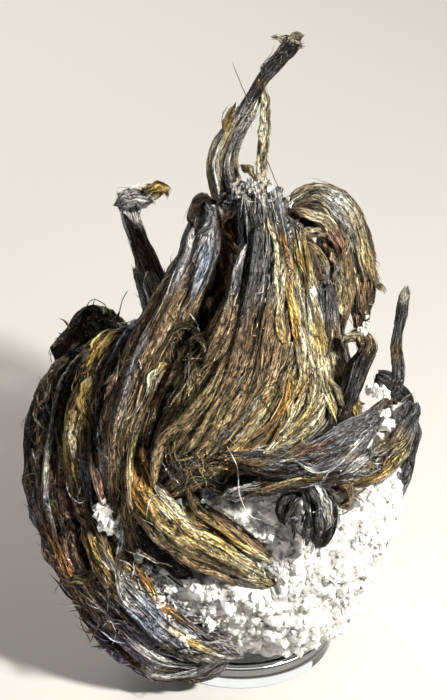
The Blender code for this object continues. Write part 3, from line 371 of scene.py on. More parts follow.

# Ropes and strands that lie on the wires' fronts, with painted light among them: many cream and silver ropes
# along lit ridges are painted highlights, and black ropes sunk under the front are painted shade in gaps.
# Each holds the wire it belongs to, tints along it, half width and lift over what it lies on, both in
# millimetres, and where it runs on the picture in pixels
LAID_ROPES_AND_PAINTED_LIGHT = (
    ("centre_sheaf", ("cream", "cream", "cream", "gold"), 0.28, 0.12,
     ((268, 218), (274, 238), (279, 262), (280, 292), (279, 318), (284, 345))),
    ("centre_sheaf", ("orange", "brown", "gold", "orange"), 0.2, 0.1,
     ((282, 232), (286, 258), (288, 286), (293, 316), (299, 344))),
    ("centre_sheaf", ("silver", "charcoal", "brown", "brown"), 0.3, 0.1,
     ((246, 246), (236, 276), (229, 306), (216, 340), (203, 366))),
    ("centre_sheaf", ("slate", "charcoal", "umber", "brown", "olive"), 0.34, 0.1,
     ((256, 226), (256, 262), (250, 302), (241, 345), (226, 388), (205, 424), (188, 450))),
    ("centre_sheaf", ("brown", "umber", "brown", "umber"), 0.26, 0.12,
     ((268, 300), (264, 342), (256, 380), (240, 412), (222, 438))),
    ("centre_sheaf", ("umber", "olive", "brown", "olive"), 0.3, 0.12,
     ((228, 352), (212, 385), (192, 414), (168, 436), (156, 462), (152, 486))),
    ("centre_sheaf", ("gold", "orange", "brown", "orange"), 0.3, 0.12,
     ((292, 372), (285, 400), (268, 424), (246, 444), (230, 460))),
    ("centre_sheaf", ("silver", "cream", "silver", "brown"), 0.13, 0.16,
     ((262, 392), (250, 408), (236, 426), (222, 440), (208, 456))),
    ("right_sheaf", ("cream", "cream", "gold", "cream"), 0.26, 0.12,
     ((301, 322), (309, 352), (315, 382), (310, 406), (292, 430), (266, 452))),
    ("right_sheaf", ("gold", "cream", "cream", "silver"), 0.16, 0.3,
     ((306, 384), (300, 402), (290, 420), (276, 440), (262, 456))),
    ("right_sheaf", ("cream", "gold", "brown"), 0.14, 0.3,
     ((294, 398), (290, 412), (280, 430), (270, 452))),
    ("right_sheaf", ("olive", "cream", "gold"), 0.3, 0.1,
     ((293, 296), (297, 322), (301, 352), (302, 378), (294, 398))),
    ("left_sheaf", ("silver", "blue", "slate", "brown"), 0.3, 0.12,
     ((215, 226), (210, 248), (202, 272), (190, 300), (178, 326))),
    ("left_sheaf", ("silver", "slate", "umber", "umber"), 0.22, 0.12,
     ((194, 228), (186, 252), (175, 282), (160, 314), (147, 344))),
    ("left_sheaf", ("black", "umber", "black"), 0.32, 0.15,
     ((216, 203), (203, 199), (193, 208), (193, 226))),
    ("left_sheaf", ("charcoal", "slate", "charcoal"), 0.22, 0.25,
     ((206, 204), (212, 214), (208, 226), (198, 234))),
    ("left_sheaf", ("brown", "umber", "brown", "olive", "brown"), 0.3, 0.12,
     ((192, 292), (176, 328), (158, 362), (144, 398), (133, 436), (128, 476), (132, 512))),
    ("left_sheaf", ("umber", "slate", "brown", "umber"), 0.24, 0.1,
     ((168, 300), (150, 332), (134, 366), (122, 402), (113, 440), (110, 480), (116, 520))),
    ("left_sheaf", ("gold", "cream", "cream"), 0.34, 0.5,
     ((168, 364), (160, 370), (152, 380), (149, 392))),
    ("left_sheaf", ("umber", "olive", "umber"), 0.2, 0.2,
     ((203, 334), (190, 344), (180, 358), (170, 376), (158, 396))),
    ("left_sheaf", ("moss", "umber", "moss"), 0.16, 0.4,
     ((172, 330), (184, 326), (196, 334), (204, 350))),
    ("left_sheaf", ("cream", "olive", "brown"), 0.18, 0.15,
     ((136, 408), (128, 420), (122, 440), (124, 462))),
    ("gap_strand", ("gold", "cream", "cream", "gold"), 0.2, 0.2,
     ((223, 232), (230, 244), (234, 258), (236, 274))),
    ("gap_strand", ("rose", "umber", "gold", "umber"), 0.16, 0.15,
     ((222, 240), (224, 262), (222, 286), (216, 308))),
    ("gap_strand", ("umber", "orange", "umber"), 0.16, 0.15,
     ((236, 214), (228, 224), (230, 240), (238, 256))),
    # black ropes sunk in the gap between the sheaves are painted shade
    ("gap_strand", ("black", "umber", "black"), 0.5, -0.4,
     ((216, 262), (213, 292), (208, 322), (202, 350))),
    ("gap_strand", ("black", "moss", "black"), 0.45, -0.3,
     ((224, 290), (217, 318), (208, 342), (196, 368))),
    ("gap_strand", ("umber", "moss", "umber", "black"), 0.4, 0.0,
     ((206, 326), (196, 346), (186, 366), (172, 392))),
    ("left_mid_rope", ("cream", "gold", "gold", "orange"), 0.3, 0.15,
     ((92, 376), (86, 388), (83, 402), (88, 420))),
    ("left_mid_rope", ("gold", "cream", "brown"), 0.26, 0.15,
     ((78, 408), (72, 424), (71, 442), (74, 460))),
    ("left_mid_rope", ("umber", "brown", "umber", "rose", "umber"), 0.32, 0.12,
     ((118, 345), (101, 372), (97, 406), (94, 442), (98, 480), (108, 518), (122, 548))),
    ("left_mid_rope", ("brown", "slate", "umber", "brown"), 0.24, 0.12,
     ((84, 428), (84, 456), (88, 492), (96, 524), (108, 554))),
    ("left_mid_rope", ("orange", "rose", "umber"), 0.14, 0.2,
     ((120, 366), (112, 382), (106, 396))),
    ("left_edge_rope", ("slate", "stone", "slate", "stone", "slate", "umber"), 0.15, 0.4,
     ((90, 350), (76, 360), (65, 378), (57, 402), (51, 432), (46, 470), (46, 505), (56, 540))),
    ("left_edge_rope", ("umber", "moss", "umber", "rose", "umber"), 0.36, 0.15,
     ((66, 376), (60, 410), (61, 446), (64, 484), (70, 522), (80, 556))),
    ("left_edge_rope", ("gold", "umber", "brown", "umber"), 0.2, 0.2,
     ((100, 338), (84, 352), (74, 368), (68, 390))),
    ("left_edge_rope", ("black", "umber", "orange", "umber"), 0.34, 0.15,
     ((42, 470), (44, 502), (52, 534), (66, 564), (84, 592))),
    # a black rope sunk under the front fills a hole with painted shade
    ("left_edge_rope", ("black", "umber", "black"), 0.5, -0.3,
     ((74, 350), (84, 356), (94, 364), (98, 384))),
    ("left_mid_rope", ("slate", "blue", "slate"), 0.16, 0.3,
     ((140, 317), (132, 328), (120, 344), (106, 364))),
    ("left_mid_rope", ("orange", "gold", "orange"), 0.12, 0.5,
     ((91, 352), (99, 340), (109, 331))),
    # a black rope sunk under the front is painted shade in the hollow beneath the curl
    ("inner_curl", ("black", "black", "black"), 0.5, -0.45,
     ((136, 522), (152, 548), (174, 566), (196, 576))),
    ("left_tangle", ("black", "moss", "umber", "black"), 0.3, 0.3,
     ((118, 344), (98, 337), (80, 347), (64, 366))),
    ("left_tangle", ("charcoal", "black", "moss"), 0.2, 0.4,
     ((104, 318), (90, 308), (82, 318), (70, 330))),
    ("lower_band", ("brown", "silver", "blue", "gold", "silver"), 0.2, 0.15,
     ((98, 540), (118, 572), (142, 600), (170, 626), (204, 648), (232, 658))),
    ("lower_band", ("silver", "umber", "silver", "violet"), 0.2, 0.2,
     ((122, 524), (122, 548), (118, 572), (124, 596), (146, 622))),
    ("lower_band", ("umber", "orange", "umber", "slate"), 0.22, 0.15,
     ((128, 560), (142, 578), (158, 600), (184, 622), (212, 640))),
    ("lower_band", ("slate", "blue", "umber", "silver"), 0.18, 0.2,
     ((116, 585), (130, 610), (152, 634), (182, 654), (216, 664))),
    ("lower_outer_band", ("umber", "brown", "violet", "silver", "slate"), 0.26, 0.15,
     ((70, 540), (84, 574), (104, 606), (132, 638), (168, 662), (205, 666))),
    ("lower_outer_band", ("brown", "umber", "slate", "umber"), 0.22, 0.15,
     ((92, 560), (110, 592), (134, 620), (162, 644), (196, 658))),
    ("lower_outer_band", ("brown", "olive", "brown"), 0.18, 0.35,
     ((62, 574), (74, 580), (88, 580), (98, 570))),
    ("lower_rim", ("olive", "silver", "slate", "silver"), 0.24, 0.15,
     ((132, 660), (158, 674), (186, 674), (212, 664), (230, 652))),
    ("lower_rim", ("umber", "black", "umber"), 0.3, 0.15,
     ((82, 600), (100, 628), (122, 650), (146, 668))),
    ("inner_curl", ("stone", "cream", "gold", "cream"), 0.22, 0.15,
     ((156, 486), (172, 506), (198, 530), (228, 548), (258, 568))),
    ("inner_curl", ("orange", "olive", "umber", "olive"), 0.24, 0.12,
     ((140, 492), (158, 520), (184, 544), (216, 562), (250, 578))),
    ("inner_curl", ("umber", "umber", "brown", "umber"), 0.2, 0.12,
     ((135, 508), (150, 532), (176, 554), (206, 570), (238, 584))),
    ("inner_strand", ("umber", "brown", "gold", "cream"), 0.2, 0.12,
     ((186, 486), (192, 506), (212, 524), (240, 543), (268, 562))),
    ("cross_rope", ("umber", "slate", "brown", "rose", "slate", "slate"), 0.2, 0.15,
     ((222, 454), (250, 456), (280, 458), (308, 449), (336, 436), (364, 418))),
    ("cross_rope", ("black", "brown", "silver", "blue", "slate"), 0.16, 0.2,
     ((232, 462), (262, 464), (292, 456), (318, 444), (346, 430))),
    ("cross_rope", ("umber", "black", "slate", "umber"), 0.18, 0.2,
     ((240, 468), (272, 474), (304, 472), (332, 460), (356, 446))),
    ("cross_rope", ("silver", "slate", "silver"), 0.14, 0.25,
     ((296, 462), (318, 470), (338, 462), (360, 440))),
    ("cross_tip", ("umber", "black", "umber", "black"), 0.34, -0.2,
     ((192, 468), (216, 480), (246, 482), (280, 474), (312, 474))),
    ("cross_tip", ("black", "umber", "black", "umber"), 0.30, -0.4,
     ((200, 482), (226, 490), (258, 490), (292, 486), (330, 488))),
    ("cross_tip", ("silver", "silver", "umber", "black"), 0.2, 0.2,
     ((224, 496), (238, 491), (256, 486), (284, 478))),
    ("cross_tip", ("black", "brown", "olive", "black"), 0.14, 0.25,
     ((248, 494), (272, 486), (296, 478), (322, 480))),
    ("dark_hook", ("charcoal", "charcoal", "black"), 0.24, 0.2,
     ((302, 488), (309, 506), (309, 528), (306, 546))),
    ("dark_hook", ("charcoal", "slate", "black"), 0.22, 0.25,
     ((308, 487), (318, 502), (320, 524), (317, 546))),
    ("dark_hook", ("silver", "silver", "silver", "slate"), 0.2, 0.3,
     ((315, 484), (324, 498), (328, 514), (326, 530))),
    ("dark_fan", ("charcoal", "charcoal", "black"), 0.16, 0.2,
     ((300, 490), (290, 496), (282, 506), (280, 518))),
    ("dark_fan", ("slate", "black", "charcoal"), 0.14, 0.3,
     ((302, 492), (294, 502), (289, 514), (286, 524))),
    ("right_rough_rope", ("silver", "silver", "olive"), 0.26, 0.15,
     ((332, 478), (350, 466), (372, 452), (388, 440))),
    ("right_rough_rope", ("umber", "brown", "umber"), 0.16, 0.3,
     ((336, 484), (346, 486), (351, 496), (345, 505), (335, 503))),
    ("right_rough_rope", ("brown", "gold", "umber"), 0.24, 0.15,
     ((352, 486), (372, 478), (390, 466), (402, 452))),
    ("right_outer_sheaf", ("slate", "umber", "cream", "gold"), 0.22, 0.15,
     ((332, 300), (328, 330), (322, 360), (326, 392), (336, 416))),
    ("right_outer_sheaf", ("brown", "cream", "umber"), 0.18, 0.2,
     ((318, 330), (322, 356), (332, 384), (346, 408))),
    ("hooked_wire", ("brown", "cream", "cream"), 0.18, 0.15,
     ((362, 345), (356, 336), (348, 338), (345, 346))),
    ("back_curl_outer", ("stone", "cream", "silver", "cream", "olive", "brown"), 0.42, 0.3,
     ((289, 206), (304, 195), (320, 190), (336, 198), (352, 216), (361, 238), (368, 260), (372, 283))),
    ("back_curl_outer", ("cream", "silver", "stone", "cream", "brown", "umber"), 0.40, 0.35,
     ((311, 197), (327, 206), (340, 222), (351, 245), (358, 270), (363, 295), (364, 315))),
    ("back_curl_inner", ("brown", "cream", "rose", "brown", "olive", "brown"), 0.36, 0.3,
     ((295, 210), (311, 216), (327, 225), (336, 241), (342, 264), (347, 289), (349, 311))),
    # a cream rope is the painted highlight on the inner fold
    ("back_curl_inner", ("cream", "cream", "cream"), 0.26, 0.5,
     ((298, 236), (311, 232), (327, 234))),
    ("back_curl_inner", ("brown", "olive", "slate", "umber"), 0.34, 0.3,
     ((304, 241), (317, 254), (323, 273), (326, 296))),
    ("back_curl_inner", ("olive", "slate", "olive", "cream"), 0.40, 0.25,
     ((333, 250), (338, 270), (341, 290), (343, 318))),
    ("back_curl_outer", ("brown", "cream", "cream"), 0.17, 0.3,
     ((366, 262), (371, 274), (377, 283), (384, 292))),
    ("top_wire", ("stone", "stone", "slate", "stone"), 0.3, 0.12,
     ((240, 222), (236, 196), (229, 172), (231, 150), (243, 126), (256, 100))),
    ("top_wire", ("stone", "stone", "olive"), 0.28, 0.12,
     ((226, 214), (219, 186), (217, 162), (224, 140), (234, 122))),
    ("top_wire", ("charcoal", "black", "black", "black"), 0.42, 0.08,
     ((262, 80), (270, 68), (281, 56), (292, 46), (301, 40))),
    ("top_wire", ("stone", "stone", "umber"), 0.12, 0.3,
     ((275, 37), (284, 39), (294, 41), (302, 47))),
    ("top_wire", ("stone", "olive"), 0.14, 0.35,
     ((288, 43), (295, 36), (302, 36))),
    ("gold_wire", ("cream", "cream", "cream", "cream"), 0.3, 0.14,
     ((262, 158), (264, 134), (265, 110), (264, 88))),
    ("top_wire", ("black", "umber"), 0.16, 0.2,
     ((284, 56), (292, 50), (302, 45))),
    ("top_wire", ("gold", "brown"), 0.14, 0.3,
     ((226, 134), (228, 120), (236, 106))),
    ("top_wire", ("brown", "olive", "umber"), 0.16, 0.3,
     ((240, 166), (246, 168), (252, 174), (256, 182))),
    ("left_curl", ("slate", "silver", "silver", "slate"), 0.46, 0.2,
     ((116, 206), (126, 199), (139, 199), (151, 203))),
    ("left_curl", ("silver", "silver", "slate"), 0.34, 0.25,
     ((118, 197), (130, 193), (144, 194))),
    ("left_curl", ("umber", "gold", "gold", "umber"), 0.26, 0.35,
     ((146, 194), (154, 187), (163, 187), (169, 195))),
    ("left_curl", ("black", "umber", "black"), 0.3, 0.15,
     ((164, 322), (156, 292), (146, 262), (136, 234), (126, 216))),
)

# Loose hairs: the wire each grows from, tint, lift over what is behind it in millimetres, and the picture's
# pixels
HAIRS = (
    ("left_edge_rope", "charcoal", 0.3, ((40, 474), (30, 474), (25, 482), (27, 499))),
    ("left_edge_rope", "slate", 0.5, ((38, 420), (42, 426), (48, 430))),
    ("cross_rope", "silver", 0.7, ((224, 441), (237, 466), (240, 496), (253, 517), (276, 519))),
    ("dark_hook", "silver", 0.7, ((289, 519), (302, 514), (318, 511))),
    ("lower_band", "slate", 0.5, ((146, 496), (142, 514), (134, 530), (136, 545))),
    ("inner_curl", "silver", 0.6, ((168, 502), (160, 494), (150, 500), (146, 520))),
    ("left_sheaf", "slate", 0.5, ((148, 270), (144, 284), (149, 300))),
    ("left_sheaf", "silver", 0.6, ((187, 310), (196, 322), (200, 332))),
    ("centre_sheaf", "slate", 0.5, ((188, 352), (189, 372), (187, 392))),
    ("centre_sheaf", "cream", 0.5, ((285, 206), (297, 198), (308, 191))),
    ("centre_sheaf", "umber", 0.5, ((236, 376), (228, 370), (220, 376))),
    ("top_wire", "umber", 0.2, ((232, 62), (240, 82), (248, 104), (252, 130))),
    ("top_wire", "charcoal", 0.3, ((266, 158), (274, 178), (284, 200))),
    ("top_wire", "umber", 0.3, ((224, 140), (222, 118), (228, 106))),
    ("left_mid_rope", "silver", 0.6, ((66, 478), (70, 494), (80, 502), (88, 498))),
    ("left_mid_rope", "slate", 0.6, ((100, 452), (108, 458), (104, 468))),
    ("lower_outer_band", "slate", 0.5, ((54, 594), (60, 584), (72, 582))),
    ("lower_outer_band", "silver", 0.5, ((102, 628), (110, 620), (116, 632), (112, 646))),
    ("lower_rim", "charcoal", 0.4, ((152, 678), (160, 686), (166, 682))),
    ("left_curl", "charcoal", 0.2, ((128, 290), (122, 302), (118, 318))),
    ("left_tangle", "charcoal", 0.3, ((84, 312), (92, 300), (104, 304), (110, 316))),
    ("right_rough_rope", "slate", 0.5, ((330, 512), (342, 514), (352, 508))),
)

# Loose strands that cross a part of the front: wire, middle x and y, reach x and y, heading in degrees and
# its spread, how many, length, all in pixels, half width in millimetres, and tints
WILD = (
    ("left_tangle", 108, 328, 26, 16, 20, 70, 46, 34, 0.070, ("black", "black", "moss", "umber", "charcoal")),
    ("left_tangle", 78, 345, 16, 20, 60, 50, 30, 30, 0.060, ("black", "umber", "moss", "slate")),
    ("left_tangle", 104, 328, 20, 16, 30, 60, 46, 22, 0.050, ("cream", "orange", "silver", "stone", "stone")),
    ("left_edge_rope", 50, 440, 14, 60, 90, 20, 50, 30, 0.040,
     ("stone", "silver", "umber", "slate", "orange")),
    ("left_mid_rope", 88, 395, 16, 30, 84, 16, 60, 30, 0.045, ("gold", "cream", "orange", "umber", "black")),
    ("left_mid_rope", 92, 470, 18, 50, 96, 30, 70, 34, 0.050, ("umber", "slate", "black", "silver", "rose")),
    ("left_edge_rope", 52, 470, 18, 70, 92, 22, 90, 40, 0.060, ("umber", "black", "slate", "rose", "moss")),
    ("left_edge_rope", 60, 540, 20, 40, 115, 30, 60, 34, 0.055,
     ("umber", "orange", "black", "stone", "rose")),
    ("lower_outer_band", 100, 600, 36, 34, 130, 26, 90, 44, 0.055,
     ("umber", "black", "silver", "violet", "brown")),
    ("lower_band", 140, 600, 34, 34, 135, 22, 110, 46, 0.055, ("silver", "blue", "black", "silver", "umber")),
    ("lower_band", 190, 640, 34, 16, 160, 18, 70, 40, 0.050,
     ("silver", "violet", "black", "silver", "slate")),
    ("lower_rim", 140, 652, 40, 20, 150, 24, 80, 44, 0.055, ("black", "umber", "silver", "violet", "silver")),
    ("left_sheaf", 186, 355, 18, 34, 70, 30, 70, 30, 0.045, ("moss", "black", "umber", "moss", "olive")),
    ("left_sheaf", 135, 420, 22, 60, 78, 12, 60, 26, 0.035, ("umber", "black", "stone", "brown")),
    ("centre_sheaf", 200, 470, 30, 14, 130, 40, 60, 34, 0.050, ("black", "umber", "olive", "charcoal")),
    ("centre_sheaf", 215, 400, 46, 50, 60, 14, 90, 24, 0.030, ("umber", "black", "stone", "brown", "olive")),
    ("right_sheaf", 292, 405, 20, 34, 62, 14, 60, 40, 0.045, ("cream", "gold", "black", "umber", "cream")),
    ("cross_rope", 290, 462, 50, 12, 12, 16, 70, 44, 0.045,
     ("black", "slate", "charcoal", "silver", "orange")),
    ("cross_tip", 270, 484, 50, 10, 8, 20, 60, 40, 0.055, ("black", "umber", "charcoal", "slate")),
    ("dark_hook", 312, 512, 20, 20, 95, 30, 40, 26, 0.045, ("black", "charcoal", "black", "slate")),
    ("right_rough_rope", 365, 468, 26, 16, 30, 40, 60, 24, 0.050,
     ("stone", "silver", "black", "brown", "slate")),
    ("right_loop", 396, 440, 12, 50, 90, 30, 60, 30, 0.060, ("charcoal", "black", "slate", "umber")),
    ("back_curl_outer", 362, 290, 8, 26, 100, 30, 24, 24, 0.050, ("stone", "umber", "cream", "black")),
    ("back_curl_inner", 328, 285, 20, 40, 95, 24, 60, 28, 0.045, ("umber", "black", "stone", "olive")),
    ("inner_curl", 190, 540, 44, 26, 145, 10, 90, 40, 0.035, ("gold", "cream", "umber", "black", "rose")),
    ("left_curl", 134, 200, 20, 8, 10, 40, 40, 20, 0.050, ("silver", "slate", "black", "silver")),
)

# Crusts of metal grains: middle x and y, reach x and y, all in pixels, how far out and its spread, how many,
# edge, tints
CRUSTS = (
    (252, 189, 16, 4, 11.5, 0.8, 180, 0.36, ("silver", "silver", "silver", "silver", "stone")),
    (271, 200, 13, 10, 11.8, 0.4, 140, 0.25, ("blue", "moss", "slate", "silver", "black", "silver")),
    (232, 200, 11, 7, 11.2, 0.6, 80, 0.28, ("black", "charcoal", "slate", "umber")),
    (288, 236, 4, 34, 12.1, 0.5, 120, 0.14, ("blue", "slate", "silver", "moss", "black")),
)

# Calcite blocks on the lump's front, with their edge length in millimetres
CRYSTALS = (
    (110, 522, 1.3), (246, 522, 1.2), (268, 534, 1.0), (292, 563, 1.4), (342, 517, 1.5), (366, 494, 1.3),
    (374, 536, 1.5), (340, 570, 1.3), (308, 604, 1.2), (256, 602, 1.3), (272, 632, 1.1), (230, 606, 1.1),
    (196, 588, 1.3), (384, 420, 1.2),
)

# White calcite that shows between the wires: pixels, half width and half height in millimetres, and how far
# out it lies, with 0 for on the front
CALCITE_PATCHES = (
    (108, 512, 0.75, 0.9, 0), (114, 528, 0.6, 0.7, 0), (138, 556, 0.35, 0.6, 0), (146, 570, 0.4, 0.5, 0),
    (158, 580, 0.6, 0.4, 0), (172, 588, 0.6, 0.4, 0), (158, 602, 0.45, 0.9, 0), (166, 612, 0.4, 0.5, 0),
    (206, 500, 0.35, 0.6, 0), (312, 292, 0.3, 0.5, 0), (366, 322, 0.3, 0.6, 0), (362, 332, 0.3, 0.4, 0),
    (382, 393, 0.8, 0.5, 8), (394, 414, 0.6, 0.7, 6), (371, 388, 0.5, 0.4, 7), (356, 500, 0.9, 0.8, 0),
    (186, 636, 0.5, 0.6, 0), (210, 622, 0.7, 0.6, 0),
)


# Lumps of the calcite, then its crags, which are folded about their middle: patterns to a unit of
# direction, where the pattern is read, its seed and its height
LUMPS = ((2.3, 9.0, 11, 0.10), (6.1, 5.0, 12, 0.06))
CRAGS = ((11.0, 3.0, 13, 0.065), (25.0, 3.0, 16, 0.03))
CRAG_REST = 0.3  # how far the folded pattern is let down
# How quickly the white comes back beside each kind of crag's valley, and how dark the painted shade in the
# valley is
VALLEY_SHADE = ((3.5, 0.5), (4.0, 0.25))
BLOCK_SHEAR = 0.25  # how far a calcite block leans
BLOCKS_IN_CRYSTAL = 22
BLOCKS_IN_PATCH = 36
PATCH_DEPTH = 0.3  # half depth of a patch of blocks in millimetres
GRAIN_EDGES = (0.12, 0.32)  # shortest and longest edge of a grain
GRAIN_CENTRE = (0.15, -0.1, 0.7)  # the side that most grains lie on
GRAIN_SHADE = (0.88, 1.05)  # darkest and lightest clean grain
DEEPEST_GRAIN = 0.9  # grains pressed in by more than this under a wire are left out
PRESS_MARGIN = 0.35  # how far past a wire's side the calcite is pressed in, and how far up its thickness
DEEPEST_PRESS = 4.0  # the most that a wire presses the calcite in
PRESS_STEP = 5  # one in this many samples of a trace presses the calcite in
BARE_OUT = 4.0  # how far out a patch lies where nothing is behind it

# A crust's blocks: how far they lean, how they spread, and how their row bends and falls back from a middle
# pixel
CRUST_SHEAR = 0.4
CRUST_SPREAD = (0.55, 1.1)  # spread of its blocks and the most that it takes, in reaches
CRUST_BEND = 0.010
CRUST_FALL = 0.0012
CRUST_MIDDLE = 256

# How far over and under its own wire's front a laid strand may lie, and where it lies past everything
OVER_HOST = 1.6
UNDER_HOST = 1.5
PAST_FRONT = 0.5
FRONT_STEP = 4  # one in this many samples of a trace stands for a wire's front
FRONT_WIDENING = 1.15  # how much wider than its oval a wire's front is taken
FRONT_PASSES = 3  # rounds in which a pixel's place and its depth are found from each other
SHOWN_SHARE = 0.6  # the least share of a loose strand that has something behind it
# The samples of a laid rope, how far it sways on the picture in pixels, its flatness and how far it is
# smoothed
LAID_SAMPLES = 24
LAID_SWAY = (1.6, 1.2)
LAID_FLATNESS = 0.6
LAID_SMOOTHING = 7
LAID_RIDGE = 0.07  # depth of its ridges in millimetres
LAID_KNOB = 0.06  # how knobbly it is
LAID_DENSITY = 1.2  # strands to a square millimetre
LAID_FINENESS = 0.9  # how finely its skin is cut, with 1 for a wire of the front
LAID_LEAST = 0.05  # its least half width in millimetres
HAIR_SAMPLES = 40
HAIR_HALF = 0.032  # half width of a loose hair in millimetres
HAIR_LIFT = 0.05  # how far its ends lie over the front
WILD_RINGS = 14
WILD_LIFT = 0.08  # how far a loose strand lies over the front
WILD_RISE = 0.3  # the most that its far end stands up past that
BACK_FINENESS = 0.6  # how finely the skins of the back are cut, with 1 for a wire of the front
# The calcite is painted black as shade above a line through this pixel that falls this many pixels a pixel to
# the left
SHADE_EDGE_X = 330
SHADE_EDGE_Y = 395
SHADE_SLOPE = -0.85
SHADE_EASE = 30
# Hollows where the calcite is painted black as shade: x and y in pixels and reach in pixels
SHADED_HOLLOWS = ((152, 538, 13), (168, 552, 15), (184, 564, 13), (200, 575, 9), (208, 498, 8), (236, 500, 8))
NOTHING = -80.0  # how far out the front lies where there is nothing

# Lights: name, place and height of their target in millimetres of the world, width, setting and colour
LIGHTS = (
    ("key", (100, -78, 118), 14, 18, "key_power", (1.0, 0.96, 0.88)),
    ("fill", (-150, -120, 60), 16, 120, "fill_power", (0.86, 0.92, 1.0)),
    ("back", (-60, 130, 110), 18, 60, "back_power", (1.0, 0.95, 0.85)),
    ("low", (-20, 190, 60), 0, 260, "low_power", (1.0, 0.98, 0.94)),
)
ROOM_COLOUR = (0.95, 0.97, 1.0)
FLOOR_ROUGHNESS = 0.7
ACRYLIC_IOR = 1.49
# near-white that the silver's bright flecks are painted with, as painted glints
PAINTED_GLINT_COLOUR = (1.0, 0.97, 0.90)

# Roughness of each slot's silver, from its smoothest to its roughest grain, and its name
SILVER_FINISHES = {
    TARNISHED: ("dark tarnished silver", 0.32, 0.56),
    GOLDEN: ("golden tarnished silver", 0.30, 0.54),
    BRIGHT: ("bright silver", 0.30, 0.54),
}


def unit(vectors):
    """The vectors at length 1."""
    return vectors / np.maximum(np.linalg.norm(vectors, axis=-1, keepdims=True), 1e-9)


def leaning_to_world(points):
    """World metres of leaning points: up and out are turned back about the across axis by the lean."""
    across, up, out = np.moveaxis(np.asarray(points, float), -1, 0)
    lean = math.radians(LEAN)
    back = up * math.sin(lean) - out * math.cos(lean)
    height = up * math.cos(lean) + out * math.sin(lean)
    return np.stack([across, back, height], axis=-1) * MM


def seen_at(x, y, out):
    """Across and up of what is seen at a pixel, this far out."""
    millimetres_a_pixel = (EYE_OUT - out) / FOCAL_PIXELS
    across = EYE_ACROSS + (x - PICTURE_WIDTH / 2) * millimetres_a_pixel
    up = EYE_UP + (PICTURE_HEIGHT / 2 - y) * millimetres_a_pixel
    return across, up


def pixel_of(points):
    """The pixel at which each leaning point is seen: its offset from the eye, over its distance."""
    scale = FOCAL_PIXELS / (EYE_OUT - points[..., 2])
    x = PICTURE_WIDTH / 2 + (points[..., 0] - EYE_ACROSS) * scale
    y = PICTURE_HEIGHT / 2 - (points[..., 1] - EYE_UP) * scale
    return x, y


def placed(route):
    """A seen route with its pixels turned into millimetres."""
    return [(*seen_at(x, y, out), out, *sizes) for x, y, out, *sizes in route]


def catmull_rom(route, count):
    """Samples of the Catmull-Rom curve through the route: the cubic that leaves each point along the line
    between its two neighbours."""
    knots = np.array(route, float)
    knots = np.vstack([2 * knots[0] - knots[1], knots, 2 * knots[-1] - knots[-2]])
    place = np.linspace(0, len(route) - 1, count)
    first = np.minimum(place.astype(int), len(route) - 2)
    t = (place - first)[:, None]
    a, b, c, d = (knots[first + k] for k in range(4))
    return 0.5 * (2 * b + (c - a) * t + (2 * a - 5 * b + 4 * c - d) * t**2 + (3 * b - a - 3 * c + d) * t**3)


def trace(route, facing, least=LEAST_HALF):
    """A route as distances along it and one row a sample: middle, along, sideways, outward, half width and
    half thickness. Sideways is at right angles to the other two."""
    samples = catmull_rom(route, ROUTE_SAMPLES)
    middle = samples[:, :3]
    steps = np.linalg.norm(np.diff(middle, axis=0), axis=1)
    distance = np.concatenate([[0.0], np.cumsum(steps)])
    along = unit(np.gradient(middle, axis=0))
    outward = middle - np.array(OUTWARD_FROM) if facing is OUTWARD else np.tile(facing, (ROUTE_SAMPLES, 1))
    outward = unit(outward - (outward * along).sum(axis=1, keepdims=True) * along)
    sideways = np.cross(along, outward)
    return distance, np.hstack([middle, along, sideways, outward, np.maximum(samples[:, 3:5], least)])


def carried(path, distance):
    """The trace's rows at any distances, carried straight on past its ends."""
    marks, rows = path
    inside = np.clip(distance, 0.0, marks[-1])
    values = np.stack([np.interp(inside, marks, column) for column in rows.T], axis=-1)
    values[..., :3] += (distance - inside)[..., None] * values[..., 3:6]
    return values


def path_of(name):
    """The slot of a wire and its trace."""
    slot, facing, route = (SEEN_WIRES | HIDDEN_WIRES)[name]
    return slot, trace(placed(route) if name in SEEN_WIRES else route, facing)


def mean_radii(path):
    """The root of the mean square of a wire's two half axes at each sample."""
    rows = path[1]
    return np.sqrt((rows[:, 12] ** 2 + rows[:, 13] ** 2) / 2)


def eased(share):
    """A share from 0 to 1 with a level start and end."""
    return share * share * (3 - 2 * share)


def tint_values(tints):
    """The colours of named tints, one row each."""
    return np.array([TINTS[tint] for tint in tints])


def skin_points(path, turn, distance, lift, swell):
    """Points on a wire's skin and its normals there: middle + half width x cosine of the turn x sideways +
    half thickness x sine of the turn x outward, both times swell, and lift along the oval's normal."""
    values = carried(path, distance)
    middle, sideways, outward = values[..., 0:3], values[..., 6:9], values[..., 9:12]
    wide = values[..., 12:13]
    thick = values[..., 13:14]
    cosine = np.cos(turn)[..., None]
    sine = np.sin(turn)[..., None]
    normal = unit(cosine * thick * sideways + sine * wide * outward)
    oval = (wide * cosine * sideways + thick * sine * outward) * swell[..., None]
    return middle + oval + lift[..., None] * normal, normal


def cell_noise(x, y, columns, seed):
    """Smooth random heights from 0 to 1: random values on a grid of unit cells, eased between its corners.
    It repeats after this many columns in x, so it closes round a wire."""
    rows = 64
    corners = np.random.default_rng(seed).random((columns, rows))
    column = np.floor(x).astype(int)
    row = np.floor(y).astype(int)
    part_x = x - column
    part_y = y - row
    ease_x = eased(part_x)
    ease_y = eased(part_y)
    left, right = column % columns, (column + 1) % columns
    near, far = row % rows, (row + 1) % rows
    start = corners[left, near] * (1 - ease_x) + corners[right, near] * ease_x
    end = corners[left, far] * (1 - ease_x) + corners[right, far] * ease_x
    return start * (1 - ease_y) + end * ease_y


